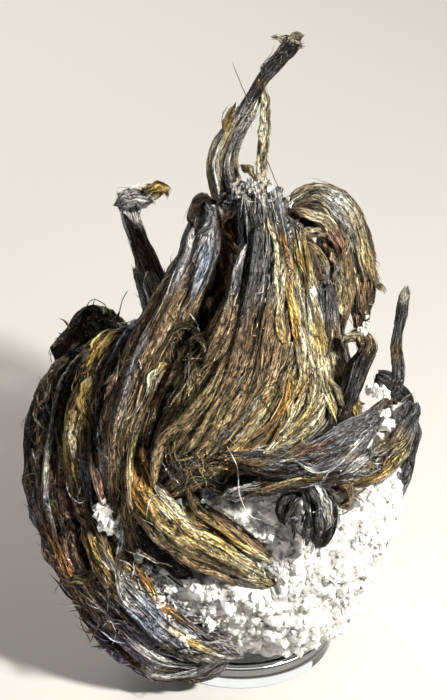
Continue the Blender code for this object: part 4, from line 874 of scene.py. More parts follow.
def lump_noise(points, seed):
    """Smooth random heights from 0 to 1 in space: random values at whole points, eased between them."""
    size = 32
    corners = np.random.default_rng(seed).random((size, size, size))
    cell = np.floor(points).astype(int)
    part = points - cell
    ease = eased(part)
    total = 0.0
    for corner in np.ndindex(2, 2, 2):
        share = np.prod(np.where(np.array(corner) == 1, ease, 1 - ease), axis=-1)
        place = (cell + np.array(corner)) % size
        total = total + share * corners[place[..., 0], place[..., 1], place[..., 2]]
    return total


def crack_profile(path, turn, distance, seed, knob):
    """How far the skin lies under its outside as a share of the crack depth, how high its knobs are, and how
    clear of cracks it is from 0 to 1. A crack follows the line where cell noise, with cells long along the
    wire, is a half; the skin rises from it as an eased slope to a flat top."""
    perimeter = 2 * math.pi * float(mean_radii(path).mean())
    fall = 0.0
    clear = 1.0
    for number, (width, length, share, slope) in enumerate(CRACK_LAYERS):
        columns = max(5, round(perimeter / width))
        wander = CRACK_WANDER[0] * np.sin(distance / CRACK_WANDER[1] + seed + number)
        x = turn / (2 * math.pi) * columns + wander
        height = cell_noise(x, distance / length + CRACK_SHIFT * number, columns, seed + number)
        rise = eased(np.clip(np.abs(2 * height - 1) / slope, 0, 1))
        fall = fall + share * (1 - rise)
        clear = clear * (1 - CRACK_SHADE * share * (1 - rise))
    columns = max(4, round(perimeter / KNOB_CELL))
    length = distance / KNOB_CELL / KNOB_STRETCH
    lump = cell_noise(turn / (2 * math.pi) * columns, length, columns, seed + KNOB_SEED)
    return fall, lump * knob, clear


def skin_fall(path, turn, distance, depth, seed, knob):
    """How far the skin lies inside the wire's oval in millimetres, and how clear of cracks it is."""
    cracks, knobs, clear = crack_profile(path, turn, distance, seed, knob)
    return OUTSET + knob * KNOB_SETTLING - knobs - depth * cracks, clear


def tint_along(tints, share):
    """Colours at shares of a length whose named tints are spread evenly along it."""
    stops = np.linspace(0, 1, len(tints))
    return np.stack([np.interp(share, stops, channel) for channel in tint_values(tints).T], axis=-1)


def with_spots_and_painted_light(colours, points, normals):
    """Colours with the tints of the front's spots mixed in, painted highlights and painted shade among them.
    A spot's share falls off as a bell with the distance on the picture, and only faces that look forward take
    it."""
    x, y = pixel_of(points)
    facing = np.clip(normals[..., 2] * 2 + 0.6, 0, 1)
    for spot_x, spot_y, reach, tint, strength in SPOTS_AND_PAINTED_LIGHT:
        share = strength * facing * np.exp(-((x - spot_x) ** 2 + (y - spot_y) ** 2) / reach**2)
        colours = colours + share[..., None] * (np.array(TINTS[tint]) - colours)
    return colours


def tube_triangles(tubes, rings, sides):
    """Triangles of closed tubes whose points run tube by tube, ring by ring, then side by side, followed by
    two tip points for each tube. They face outwards."""
    start = (np.arange(tubes) * rings * sides)[:, None, None]
    ring = np.arange(rings)[None, :, None] * sides
    side = np.arange(sides)[None, None, :]
    here = start + ring + side
    beside = start + ring + (side + 1) % sides
    a, b = here[:, :-1], beside[:, :-1]
    c, d = beside[:, 1:], here[:, 1:]
    walls = np.stack([np.stack([a, d, c], axis=-1), np.stack([a, c, b], axis=-1)]).reshape(-1, 3)
    tips = tubes * rings * sides + np.arange(tubes)[:, None]
    first = np.broadcast_to(tips, (tubes, sides))
    last = first + tubes
    start_cap = np.stack([first, here[:, 0], beside[:, 0]], axis=-1).reshape(-1, 3)
    end_cap = np.stack([last, beside[:, -1], here[:, -1]], axis=-1).reshape(-1, 3)
    return np.vstack([walls, start_cap, end_cap])


def tube_patch(points, first_tips, last_tips, colours, flow):
    """One patch of closed tubes from grids of points (tube, ring, side) and the tubes' tips."""
    tubes, rings, sides, _ = points.shape
    all_points = np.vstack([points.reshape(-1, 3), first_tips, last_tips])
    colours = np.broadcast_to(colours, points.shape)
    flow = np.broadcast_to(flow, points.shape)
    all_colours = np.vstack([colours.reshape(-1, 3), colours[:, 0, 0], colours[:, -1, 0]])
    all_flow = np.vstack([flow.reshape(-1, 3), flow[:, 0, 0], flow[:, -1, 0]])
    return all_points, tube_triangles(tubes, rings, sides), all_colours, all_flow


def wire_skin(path, tints, depth, seed, front, knob, fine=1.0, crowding=CROWDING):
    """A wire's cracked skin, closed and ragged at both ends. Its radius swells from nothing as the square
    root of the distance from an end, and each line of points ends at its own random distance. A ring's turns
    are v - crowding x the sine of v, so they crowd together on the outward side."""
    length = path[0][-1]
    perimeter = 2 * math.pi * float(mean_radii(path).max())
    rings = max(LEAST_RINGS, int(length / RING_STEP * fine))
    sides = max(LEAST_RINGS, int(perimeter / SIDE_STEP * fine))
    step = np.arange(sides) * 2 * math.pi / sides - math.pi
    turn = (math.pi / 2 + step - crowding * np.sin(step))[None, :]
    share = np.linspace(0, 1, rings)[:, None]
    columns = max(5, int(perimeter / RAGGED_WIDTH))
    teeth = cell_noise(turn / (2 * math.pi) * columns, 0 * turn + 3.5, columns, seed + RAGGED_SEED) - 0.5
    ragged = END_RAGGED * teeth
    distance = share * length + ragged * (np.abs(2 * share - 1) ** 6) * np.sign(2 * share - 1)
    turn = np.broadcast_to(turn, distance.shape)
    fall, clear = skin_fall(path, turn, distance, depth, seed, knob)
    fall = fall + np.random.default_rng(seed + JITTER_SEED).normal(0, JITTER * (1 + 2 * knob), fall.shape)
    from_end = np.minimum(share, 1 - share) * length
    swell = np.sqrt(np.clip(from_end / END_ROUNDING + END_OPENING, 0, 1)) * np.ones_like(turn)
    points, normals = skin_points(path, turn, distance, fall * swell, swell)
    colours = tint_along(tints, np.clip(distance / length, 0, 1))
    # the spots add the front's tints, with painted highlights and painted shade among them
    if front:
        colours = with_spots_and_painted_light(colours, points, normals)
    columns = max(6, int(perimeter / STREAK_SIZE[0]))
    column = turn / (2 * math.pi) * columns
    streak = cell_noise(column, distance / STREAK_SIZE[1], columns, seed + STREAK_SEED)
    # the skin is darkened in its cracks as painted shade
    painted_crack_shade = CRACK_SHADE_TONE[0] + CRACK_SHADE_TONE[1] * clear**1.5
    colours = colours * (painted_crack_shade * (STREAK_TONE[0] + STREAK_TONE[1] * streak))[..., None]
    flow = np.stack([turn * perimeter / (2 * math.pi), distance, np.full_like(turn, seed % 17)], axis=-1)
    tips = points.mean(axis=1)
    return tube_patch(points[None], tips[:1], tips[-1:], colours[None], flow[None])


def strand_tubes(paths, normals, half_width, half_thickness, taper, colours, flow_offset, along, sides):
    """Closed thin tubes along given paths (strand, ring): path + taper x (half width x cosine x the side
    vector + half thickness x sine x the normal)."""
    strands, rings, _ = paths.shape
    tangent = unit(np.gradient(paths, axis=1))
    normals = unit(normals - (normals * tangent).sum(axis=-1, keepdims=True) * tangent)
    beside = np.cross(tangent, normals)
    angle = math.pi / 2 + np.arange(sides) * 2 * math.pi / sides
    cosine = np.cos(angle)[None, None, :, None]
    sine = np.sin(angle)[None, None, :, None]
    wide = (half_width[:, None] * taper)[..., None, None]
    thick = (half_thickness[:, None] * taper)[..., None, None]
    points = paths[:, :, None] + wide * cosine * beside[:, :, None] + thick * sine * normals[:, :, None]
    around = flow_offset[:, None, None] + angle[None, None, :] * half_width[:, None, None]
    distance = (along + FLOW_SHIFT * flow_offset[:, None])[..., None]
    distance = np.broadcast_to(distance, (strands, rings, sides))
    around = np.broadcast_to(around, distance.shape)
    flow = np.stack([around, distance, np.broadcast_to(flow_offset[:, None, None], distance.shape)], axis=-1)
    first = paths[:, 0] - tangent[:, 0] * half_width[:, None] * TIP_REACH
    last = paths[:, -1] + tangent[:, -1] * half_width[:, None] * TIP_REACH
    return tube_patch(points, first, last, colours[:, :, None], flow)


def strand_tones(rng, strands):
    """How bright each strand is: most vary round their wire's own tint, a few are worn bright and some are
    black."""
    tone = np.exp(rng.normal(*STRAND_TONE, strands))
    worn = rng.random(strands) < WORN_SHARE
    tone = np.where(worn, tone * WORN_TONE, tone)
    return np.where(rng.random(strands) < BLACK_SHARE, tone * BLACK_TONE, tone)


def wire_strands(path, tints, depth, seed, front, knob, count, all_round):
    """The strands laid on a wire, kind by kind. Each runs along the skin at its own turn, which drifts and
    wanders as sines do, and its lift grows towards its free end as a power of its length."""
    rng = np.random.default_rng(seed + STRAND_SEED)
    length = path[0][-1]
    patches = []
    for kind in STRAND_KINDS.values():
        share, widths, flatness, lengths, lifts, end_lifts, drift, rings, sides, tone = kind
        strands = max(2, round(count * share))
        t = np.linspace(0, 1, rings)[None, :]
        half_width = rng.uniform(*widths, strands)
        reach = np.minimum(rng.uniform(*lengths, strands), length * LONGEST_SHARE)
        start = rng.uniform(-PAST_END, length + PAST_END - reach, strands)
        distance = start[:, None] + reach[:, None] * t
        middle_turn = rng.normal(math.pi / 2, STRAND_SPREAD, strands)
        anywhere = rng.uniform(-math.pi / 2, 1.5 * math.pi, strands)
        loose = rng.random(strands) < (1.0 if all_round else LOOSE_SHARE)
        middle_turn = np.where(loose, anywhere, middle_turn)
        swing = rng.normal(0, drift / 2 * (1 + 5 * knob), strands)[:, None]
        phase = rng.uniform(0, 2 * math.pi, strands)[:, None]
        turn = middle_turn[:, None] + swing * (t - 0.5) + STRAND_WOBBLE * drift * np.sin(phase + 7 * t)
        fall, _ = skin_fall(path, turn, distance, depth, seed, knob)
        last_is_free = (rng.random(strands) < 0.5)[:, None]
        towards = np.where(last_is_free, t, 1 - t)
        rise = rng.uniform(*end_lifts, strands)[:, None] * towards**3
        lift = fall * STRAND_SINK + rng.uniform(*lifts, strands)[:, None] + rise
        swell = np.sqrt(np.clip(np.minimum(distance, length - distance) / END_ROUNDING + PAST_END, 0.2, 1))
        paths, normals = skin_points(path, turn, distance, lift, swell)
        taper = np.clip(np.minimum(t * 4, (1 - t) * 4), 0.1, 1) ** 0.8 * np.ones_like(distance)
        colours = tint_along(tints, np.clip(distance / length, 0, 1))
        # the spots add the front's tints, with painted highlights and painted shade among them
        if front:
            colours = with_spots_and_painted_light(colours, paths, normals)
        colours = colours * tone * strand_tones(rng, strands)[:, None, None]
        offset = rng.uniform(0, FLOW_RANGE, strands)
        patches.append(strand_tubes(paths, normals, half_width, half_width * flatness, taper, colours, offset,
                                    distance, sides))
    return patches


def front_rows():
    """The middles of each seen wire by name, one row a sample, with the oval's half size across the wire on
    the picture and its half size towards the eye. An oval reaches as far along a direction as the square root
    of its two half axes' squared shares of it."""
    found = {}
    for name in SEEN_WIRES:
        rows = path_of(name)[1][1][::FRONT_STEP]
        beside = unit(np.stack([-rows[:, 4], rows[:, 3]], axis=1))
        half_axes = rows[:, 6:9] * rows[:, 12:13], rows[:, 9:12] * rows[:, 13:14]
        wide = np.hypot(*((axis[:, :2] * beside).sum(axis=1) for axis in half_axes))
        deep = np.hypot(*(axis[:, 2] for axis in half_axes))
        found[name] = np.column_stack([rows[:, :3], wide, deep])
    return found


WIRE_FRONTS = front_rows()
FRONT_ROWS = np.vstack(list(WIRE_FRONTS.values()))


def front_at(across, up):
    """How far out the frontmost wire or the calcite lies at points of the leaning plane. A wire's front is
    its middle + half thickness x the square root of 1 - (offset / half width) squared."""
    sideways = (across - HEART_MIDDLE[0]) / HEART_REACH[0]
    upwards = (up - HEART_MIDDLE[1]) / HEART_REACH[1]
    heart = HEART_MIDDLE[2] + HEART_REACH[2] * np.sqrt(np.clip(1 - sideways**2 - upwards**2, 0, None))
    heart = np.where(sideways**2 + upwards**2 < 1, heart, NOTHING)
    offset = np.hypot(across[:, None] - FRONT_ROWS[:, 0], up[:, None] - FRONT_ROWS[:, 1])
    inside = np.clip(1 - (offset / (FRONT_ROWS[:, 3] * FRONT_WIDENING)) ** 2, 0, None)
    fronts = np.where(inside > 0, FRONT_ROWS[:, 2] + FRONT_ROWS[:, 4] * np.sqrt(inside), NOTHING)
    return np.maximum(heart, fronts.max(axis=1))


def front_by(host, across, up):
    """How far out the front lies at points of the leaning plane, kept near the front of the wire that a
    strand belongs to, so that the strand doesn't leave it for another far behind or before it."""
    rows = WIRE_FRONTS[host]
    nearest = np.hypot(across[:, None] - rows[:, 0], up[:, None] - rows[:, 1]).argmin(axis=1)
    own = rows[nearest, 2] + rows[nearest, 4]
    found = front_at(across, up)
    found = np.where(found > NOTHING / 2, found, own - PAST_FRONT)
    return np.clip(found, own - UNDER_HOST, own + OVER_HOST)


def laid_route(host, pixels, lift, half_width, seed, count=LAID_SAMPLES, waver=1.0):
    """A route over the front through pixels: each point lies this far over what is behind it, with the depth
    smoothed along the route so that it doesn't jump. It wavers a little, and it is thickest in its middle."""
    rng = np.random.default_rng(seed)
    x, y = catmull_rom(pixels, count).T
    place = np.arange(count)
    wave = np.sin(place / rng.uniform(1.6, 2.6) + rng.uniform(0, 6)) * np.sin(place / rng.uniform(3.0, 5.0))
    x = x + LAID_SWAY[0] * waver * wave
    y = y + LAID_SWAY[1] * waver * np.roll(wave, 4)
    out = np.full(count, 10.0)
    for _ in range(FRONT_PASSES):
        out = front_by(host, *seen_at(x, y, out))
    padded = np.pad(out, LAID_SMOOTHING // 2, mode="edge")
    out = np.convolve(padded, np.ones(LAID_SMOOTHING) / LAID_SMOOTHING, mode="valid") + lift
    across, up = seen_at(x, y, out)
    half = half_width * (0.35 + 0.65 * np.sin(np.linspace(0, math.pi, count)) ** 0.5)
    half = half * (1 + 0.25 * np.sin(place / 1.7 + rng.uniform(0, 6)))
    return np.stack([across, up, out, half, half * LAID_FLATNESS], axis=1)


def hair_patch(host, pixels, tint, lift, seed):
    """A loose hair: one thin tube over the front."""
    route = laid_route(host, pixels, 0.0, HAIR_HALF, seed, HAIR_SAMPLES, 0.15)
    rise = np.sin(np.linspace(0, math.pi, HAIR_SAMPLES)) ** 0.7
    route[:, 2] += HAIR_LIFT + lift * rise
    paths = route[None, :, :3]
    normals = np.broadcast_to(np.array(FORWARD), paths.shape)
    ends = np.minimum(np.linspace(0, 8, HAIR_SAMPLES), np.linspace(8, 0, HAIR_SAMPLES))
    taper = np.clip(ends, 0.3, 1)[None, :]
    colours = np.broadcast_to(np.array(TINTS[tint]), paths.shape)
    half = np.array([HAIR_HALF])
    offset = np.random.default_rng(seed).uniform(0, FLOW_RANGE, 1)
    along = np.linspace(0, 5, HAIR_SAMPLES)[None, :]
    return strand_tubes(paths, normals, half, half, taper, colours, offset, along, 5)


def rhombs(centres, edges, turns, shear):
    """Small leaning blocks: the corners of a cube, sheared, turned by each block's own rotation and moved to
    its centre."""
    corners = np.array([(x, y, z) for z in (-0.5, 0.5) for y in (-0.5, 0.5) for x in (-0.5, 0.5)])
    leaning = corners @ np.array([[1, 0, 0], [shear, 1, 0], [shear, shear, 1]])
    points = centres[:, None] + np.einsum("gij,kj->gki", turns, leaning) * edges[:, None, None]
    faces = np.array([(0, 2, 3), (0, 3, 1), (4, 5, 7), (4, 7, 6), (0, 1, 5), (0, 5, 4),
                      (2, 6, 7), (2, 7, 3), (0, 4, 6), (0, 6, 2), (1, 3, 7), (1, 7, 5)])
    triangles = (np.arange(len(centres)) * 8)[:, None, None] + faces[None]
    return points.reshape(-1, 3), triangles.reshape(-1, 3)


def block_patch(centres, edges, turns, colours, shear=BLOCK_SHEAR):
    """A patch of blocks, each with its own edge, turn and colour."""
    points, triangles = rhombs(centres, edges, turns, shear)
    return points, triangles, np.repeat(colours, 8, axis=0), points


def random_turns(rng, count):
    """Random rotations, from unit quaternions."""
    w, x, y, z = unit(rng.normal(size=(count, 4))).T
    rows = [
        1 - 2 * (y * y + z * z), 2 * (x * y - z * w), 2 * (x * z + y * w),
        2 * (x * y + z * w), 1 - 2 * (x * x + z * z), 2 * (y * z - x * w),
        2 * (x * z - y * w), 2 * (y * z + x * w), 1 - 2 * (x * x + y * y),
    ]
    return np.stack(rows, axis=-1).reshape(count, 3, 3)


def wild_strands(region, seed):
    """Loose strands over a part of the front. Each starts at a random pixel and follows a heading that bends
    evenly; its points lie over what is behind them, smoothed along it, and its free end rises as a square."""
    host, middle_x, middle_y, reach_x, reach_y, heading, spread, count, length, half_width, tints = region
    rng = np.random.default_rng(seed)
    rings = WILD_RINGS
    t = np.linspace(0, 1, rings)[None, :]
    heading = np.radians(rng.normal(heading, spread, (count, 1)))
    heading = heading + rng.normal(0, 0.8, (count, 1)) * (t - 0.5) + 0.2 * np.sin(9 * t + heading * 5)
    step = length * rng.uniform(0.4, 1.2, (count, 1)) / rings
    x = middle_x + reach_x * rng.uniform(-1, 1, (count, 1)) + np.cumsum(np.cos(heading) * step, axis=1)
    y = middle_y + reach_y * rng.uniform(-1, 1, (count, 1)) - np.cumsum(np.sin(heading) * step, axis=1)
    x = x - (x[:, -1:] - x[:, :1]) / 2
    y = y - (y[:, -1:] - y[:, :1]) / 2
    place = seen_at(x.ravel(), y.ravel(), WIRE_FRONTS[host][:, 2].mean())
    kept = (front_at(*place).reshape(x.shape) > NOTHING / 2).mean(axis=1) > SHOWN_SHARE
    out = front_by(host, *place).reshape(x.shape)
    kept = kept & (np.ptp(out, axis=1) < OVER_HOST + UNDER_HOST / 2)
    x, y, out = x[kept], y[kept], out[kept]
    for _ in range(3):
        padded = np.pad(out, ((0, 0), (1, 1)), mode="edge")
        out = (padded[:, :-2] + padded[:, 1:-1] + padded[:, 2:]) / 3
    strands = len(x)
    out = out + WILD_LIFT + rng.uniform(0.0, WILD_RISE, (strands, 1)) * t**2
    across, up = seen_at(x, y, out)
    paths = np.stack([across, up, out], axis=-1)
    half = half_width * rng.uniform(0.6, 1.5, strands)
    taper = np.clip(np.minimum(t * 5, (1 - t) * 3), 0.15, 1) * np.ones_like(x)
    colours = tint_values(tints)[rng.integers(0, len(tints), strands)]
    colours = (colours * rng.uniform(0.5, 1.4, (strands, 1)))[:, None] * np.ones((1, rings, 1))
    normals = np.broadcast_to(np.array(FORWARD), paths.shape)
    along = np.linspace(0, 3, rings)[None, :] * np.ones_like(x)
    offset = rng.uniform(0, FLOW_RANGE, strands)
    return strand_tubes(paths, normals, half, half * 0.8, taper, colours, offset, along, 4)


def apex_crusts(seed):
    """Crusts of blocks of bright and bluish silver on the broken top of the centre sheaf and down its flank.
    The blocks lie closest together in the middle of each crust."""
    rng = np.random.default_rng(seed)
    patches = []
    for middle_x, middle_y, reach_x, reach_y, out, depth, count, edge, tints in CRUSTS:
        spread = np.clip(rng.normal(0, CRUST_SPREAD[0], (count, 3)), -CRUST_SPREAD[1], CRUST_SPREAD[1])
        x = middle_x + reach_x * spread[:, 0]
        y = middle_y + reach_y * spread[:, 1] + CRUST_BEND * (x - middle_x) ** 2
        out = out - CRUST_FALL * (x - CRUST_MIDDLE) ** 2 + depth * spread[:, 2]
        across, up = seen_at(x, y, out)
        centres = np.stack([across, up, out], axis=1)
        colours = tint_values(tints)[rng.integers(0, len(tints), count)]
        colours = colours * rng.uniform(0.6, 1.3, (count, 1))
        edges = edge * rng.uniform(0.4, 1.5, count)
        patches.append(block_patch(centres, edges, random_turns(rng, count), colours, CRUST_SHEAR))
    return patches


def make_mesh_piece(name, patches, material, node, smooth):
    """A mesh object from patches of points, triangles, colours and flow, in the leaning frame, each patch
    smooth or flat."""
    counts = np.cumsum([0] + [len(patch[0]) for patch in patches])
    points = leaning_to_world(np.vstack([patch[0] for patch in patches]))
    triangles = np.vstack([patch[1] + start for patch, start in zip(patches, counts)])
    colours = np.clip(np.vstack([patch[2] for patch in patches]), 0, 1)
    flow = np.vstack([patch[3] for patch in patches])
    mesh = bpy.data.meshes.new(name)
    mesh.vertices.add(len(points))
    mesh.vertices.foreach_set("co", points.astype(np.float32).ravel())
    mesh.loops.add(len(triangles) * 3)
    mesh.loops.foreach_set("vertex_index", triangles.astype(np.int32).ravel())
    mesh.polygons.add(len(triangles))
    mesh.polygons.foreach_set("loop_start", np.arange(0, len(triangles) * 3, 3, dtype=np.int32))
    mesh.update(calc_edges=True)
    smooth_faces = np.concatenate([np.full(len(patch[1]), flag) for patch, flag in zip(patches, smooth)])
    mesh.polygons.foreach_set("use_smooth", smooth_faces)
    # the tarnish attribute holds each point's colour, with painted highlights and painted shade mixed in
    tarnish = mesh.attributes.new("tarnish", "FLOAT_COLOR", "POINT")
    opaque = np.hstack([colours, np.ones((len(colours), 1))])
    tarnish.data.foreach_set("color", opaque.astype(np.float32).ravel())
    flow_attribute = mesh.attributes.new("flow", "FLOAT_VECTOR", "POINT")
    flow_attribute.data.foreach_set("vector", flow.astype(np.float32).ravel())
    mesh.materials.append(material)
    piece = bpy.data.objects.new(name, mesh)
    bpy.context.scene.collection.objects.link(piece)
    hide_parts(node)
    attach(piece, "root")


def add_node(tree, kind, label, settings=None, inputs=None):
    """A shader node with its settings and the values of its sockets."""
    node = tree.nodes.new(kind)
    node.label = label
    for key, value in (settings or {}).items():
        setattr(node, key, value)
    for key, value in (inputs or {}).items():
        node.inputs[key].default_value = value
    return node


def calculated(tree, label, operation, *values):
    """The output of a math node whose inputs are sockets or plain numbers."""
    node = add_node(tree, "ShaderNodeMath", label, {"operation": operation})
    for socket, value in zip(node.inputs, values):
        if isinstance(value, bpy.types.NodeSocket):
            tree.links.new(value, socket)
        else:
            socket.default_value = value
    return node.outputs[0]


def ranged(tree, label, value, from_low, from_high, to_low, to_high):
    """The output of a map range node, clamped at both ends."""
    node = add_node(tree, "ShaderNodeMapRange", label, {}, {
        "From Min": from_low, "From Max": from_high, "To Min": to_low, "To Max": to_high})
    tree.links.new(value, node.inputs["Value"])
    return node.outputs["Result"]


def new_material(name):
    """A new material, its tree of nodes and its shader."""
    material = bpy.data.materials.new(name)
    material.use_nodes = True
    return material, material.node_tree, material.node_tree.nodes["Principled BSDF"]


def toned(tree, label, tone):
    """The piece's own tarnish, scaled by a tone."""
    tarnish = add_node(tree, "ShaderNodeAttribute", "Tarnish", {"attribute_name": "tarnish"})
    colour = add_node(tree, "ShaderNodeVectorMath", label, {"operation": "SCALE"})
    tree.links.new(tarnish.outputs["Color"], colour.inputs[0])
    tree.links.new(tone, colour.inputs["Scale"])
    return colour.outputs["Vector"]


def grain_noise(tree, label, scale, detail, roughness):
    """Fine noise over the place on the piece."""
    place = add_node(tree, "ShaderNodeTexCoord", "Place on the piece")
    values = {"Scale": scale, "Detail": detail, "Roughness": roughness}
    grains = add_node(tree, "ShaderNodeTexNoise", label, {}, values)
    tree.links.new(place.outputs["Object"], grains.inputs["Vector"])
    return grains.outputs["Fac"]


def add_relief(tree, shader, label, height, strength, distance):
    """A fine relief on the shader's normal."""
    relief = add_node(tree, "ShaderNodeBump", label, {}, {"Strength": strength, "Distance": distance})
    tree.links.new(height, relief.inputs["Height"])
    tree.links.new(relief.outputs["Normal"], shader.inputs["Normal"])


def stretched_noise(tree, label, place, scale, detail):
    """Noise over a place that is scaled by its own amount each way."""
    mapping = add_node(tree, "ShaderNodeMapping", f"{label} size", {}, {"Scale": scale})
    values = {"Scale": 1.0, "Detail": detail, "Roughness": 0.6}
    noise = add_node(tree, "ShaderNodeTexNoise", label, {}, values)
    tree.links.new(place, mapping.inputs["Vector"])
    tree.links.new(mapping.outputs["Vector"], noise.inputs["Vector"])
    return noise.outputs["Fac"]


def crack_lines(tree, label, place, scale, width):
    """Thin lines that are 0 where stretched noise is a half, rising to 1 on both sides."""
    noise = stretched_noise(tree, label, place, scale, 3.0)
    offset = calculated(tree, f"{label} offset", "SUBTRACT", noise, 0.5)
    distance = calculated(tree, f"{label} distance", "ABSOLUTE", offset)
    return ranged(tree, f"{label} lines", distance, 0.0, width, 0.0, 1.0)


def silver_material(slot, settings):
    """Tarnished wire silver: its colour is the piece's own tarnish with its painted light, cracked and
    darkened in its cracks and pits as painted shade, streaked and roughened along the flow, with fine bright
    flecks painted in as glints."""
    name, low_roughness, high_roughness = SILVER_FINISHES[slot]
    if name in bpy.data.materials:
        return bpy.data.materials[name]
    material, tree, shader = new_material(name)
    link = tree.links.new
    shader.inputs["Metallic"].default_value = settings.metallic
    shader.inputs["Specular IOR Level"].default_value = 0.6
    flow = add_node(tree, "ShaderNodeAttribute", "Flow along the wire", {"attribute_name": "flow"})
    along = flow.outputs["Vector"]
    streaks = stretched_noise(tree, "Fine streaks", along, (13.0, 0.5, 1.0), 4.0)
    stains = stretched_noise(tree, "Stains", along, (1.4, 0.6, 1.0), 4.0)
    wide_cracks = crack_lines(tree, "Wide cracks", along, (3.6, 0.30, 1.0), 0.02)
    fine_cracks = crack_lines(tree, "Fine cracks", along, (9.5, 0.55, 1.0), 0.034)
    cracks = calculated(tree, "All cracks", "MULTIPLY", wide_cracks, fine_cracks)
    grains = grain_noise(tree, "Metal grain", 9000.0, 3.0, 0.7)
    place = add_node(tree, "ShaderNodeTexCoord", "Place of the flecks")
    # bright flecks are painted glints: a near-white mixed into the colour, with lower roughness and a bump
    cells = add_node(tree, "ShaderNodeTexVoronoi", "Crystal flecks", {}, {"Scale": 12000.0})
    link(place.outputs["Object"], cells.inputs["Vector"])
    cell_values = add_node(tree, "ShaderNodeSeparateColor", "Value of each fleck")
    link(cells.outputs["Color"], cell_values.inputs["Color"])
    flecks = ranged(tree, "Bright flecks", cell_values.outputs["Red"], 0.91, 0.95, 0.0, 1.0)
    flecks = calculated(tree, "Flecks clear of cracks", "MULTIPLY", flecks, cracks)
    clusters = ranged(tree, "Fleck clusters", stains, 0.48, 0.60, 0.0, 1.0)
    flecks = calculated(tree, "Clustered flecks", "MULTIPLY", flecks, clusters)

    grit = stretched_noise(tree, "Grit", along, (7.0, 2.6, 1.0), 6.0)
    tone = ranged(tree, "Streak tone", streaks, 0.34, 0.66, 0.65, 1.9)
    # Pits and Crack tone darken the low parts of the relief as painted shade; Streak tone and Stain tone are
    # the tarnish's own colour
    for label, value, low, high, dark, light in (
            ("Pits", grit, 0.40, 0.54, 0.20, 1.25),
            ("Stain tone", stains, 0.3, 0.7, 0.7, 1.35),
            ("Crack tone", cracks, 0.0, 1.0, 0.03, 1.0)):
        share = ranged(tree, label, value, low, high, dark, light)
        tone = calculated(tree, f"{label} mixed in", "MULTIPLY", tone, share)
    # painted glints: the bright flecks mix a near-white into the tarnish
    flecked = add_node(tree, "ShaderNodeMix", "Flecked tarnish", {"data_type": "RGBA"})
    link(calculated(tree, "Fleck strength", "MULTIPLY", flecks, 0.8), flecked.inputs["Factor"])
    link(toned(tree, "Finished tarnish", tone), flecked.inputs["A"])
    flecked.inputs["B"].default_value = (*PAINTED_GLINT_COLOUR, 1.0)
    link(flecked.outputs["Result"], shader.inputs["Base Color"])

    roughness = ranged(tree, "Grain roughness", grains, 0.35, 0.65, low_roughness, high_roughness)
    shine = calculated(tree, "Fleck shine", "MULTIPLY", flecks, 0.28)
    link(calculated(tree, "Roughness", "SUBTRACT", roughness, shine), shader.inputs["Roughness"])

    height = calculated(tree, "Cracks and streaks", "MULTIPLY_ADD", streaks, 0.7, cracks)
    height = calculated(tree, "With grit", "MULTIPLY_ADD", grit, 1.2, height)
    height = calculated(tree, "With grain", "MULTIPLY_ADD", grains, 0.45, height)
    height = calculated(tree, "With flecks", "MULTIPLY_ADD", cells.outputs["Distance"], 0.35, height)
    add_relief(tree, shader, "Fine relief", height, 1.0, settings.relief)
    return material


def calcite_material(settings):
    """Sugary white calcite: near white, a little see-through at its edges, with a grainy relief."""
    material, tree, shader = new_material("white calcite")
    shader.inputs["Roughness"].default_value = settings.roughness
    shader.inputs["Subsurface Weight"].default_value = settings.glow
    shader.inputs["Subsurface Radius"].default_value = (0.5 * MM, 0.45 * MM, 0.4 * MM)
    shader.inputs["Subsurface Scale"].default_value = 1.0
    grains = grain_noise(tree, "Sugar grain", 5200.0, 4.0, 0.75)
    tone = ranged(tree, "Grain tone", grains, 0.3, 0.6, 0.86, 1.05)
    tree.links.new(toned(tree, "Grained white", tone), shader.inputs["Base Color"])
    add_relief(tree, shader, "Sugary relief", grains, 0.8, 0.08 * MM)
    return material


def acrylic_material(settings):
    """Clear polished acrylic, with the faintest blue in its depth."""
    material, _, shader = new_material("clear acrylic")
    shader.inputs["Base Color"].default_value = (*settings.colour, 1.0)
    shader.inputs["Transmission Weight"].default_value = 1.0
    shader.inputs["IOR"].default_value = ACRYLIC_IOR
    shader.inputs["Roughness"].default_value = 0.0
    return material


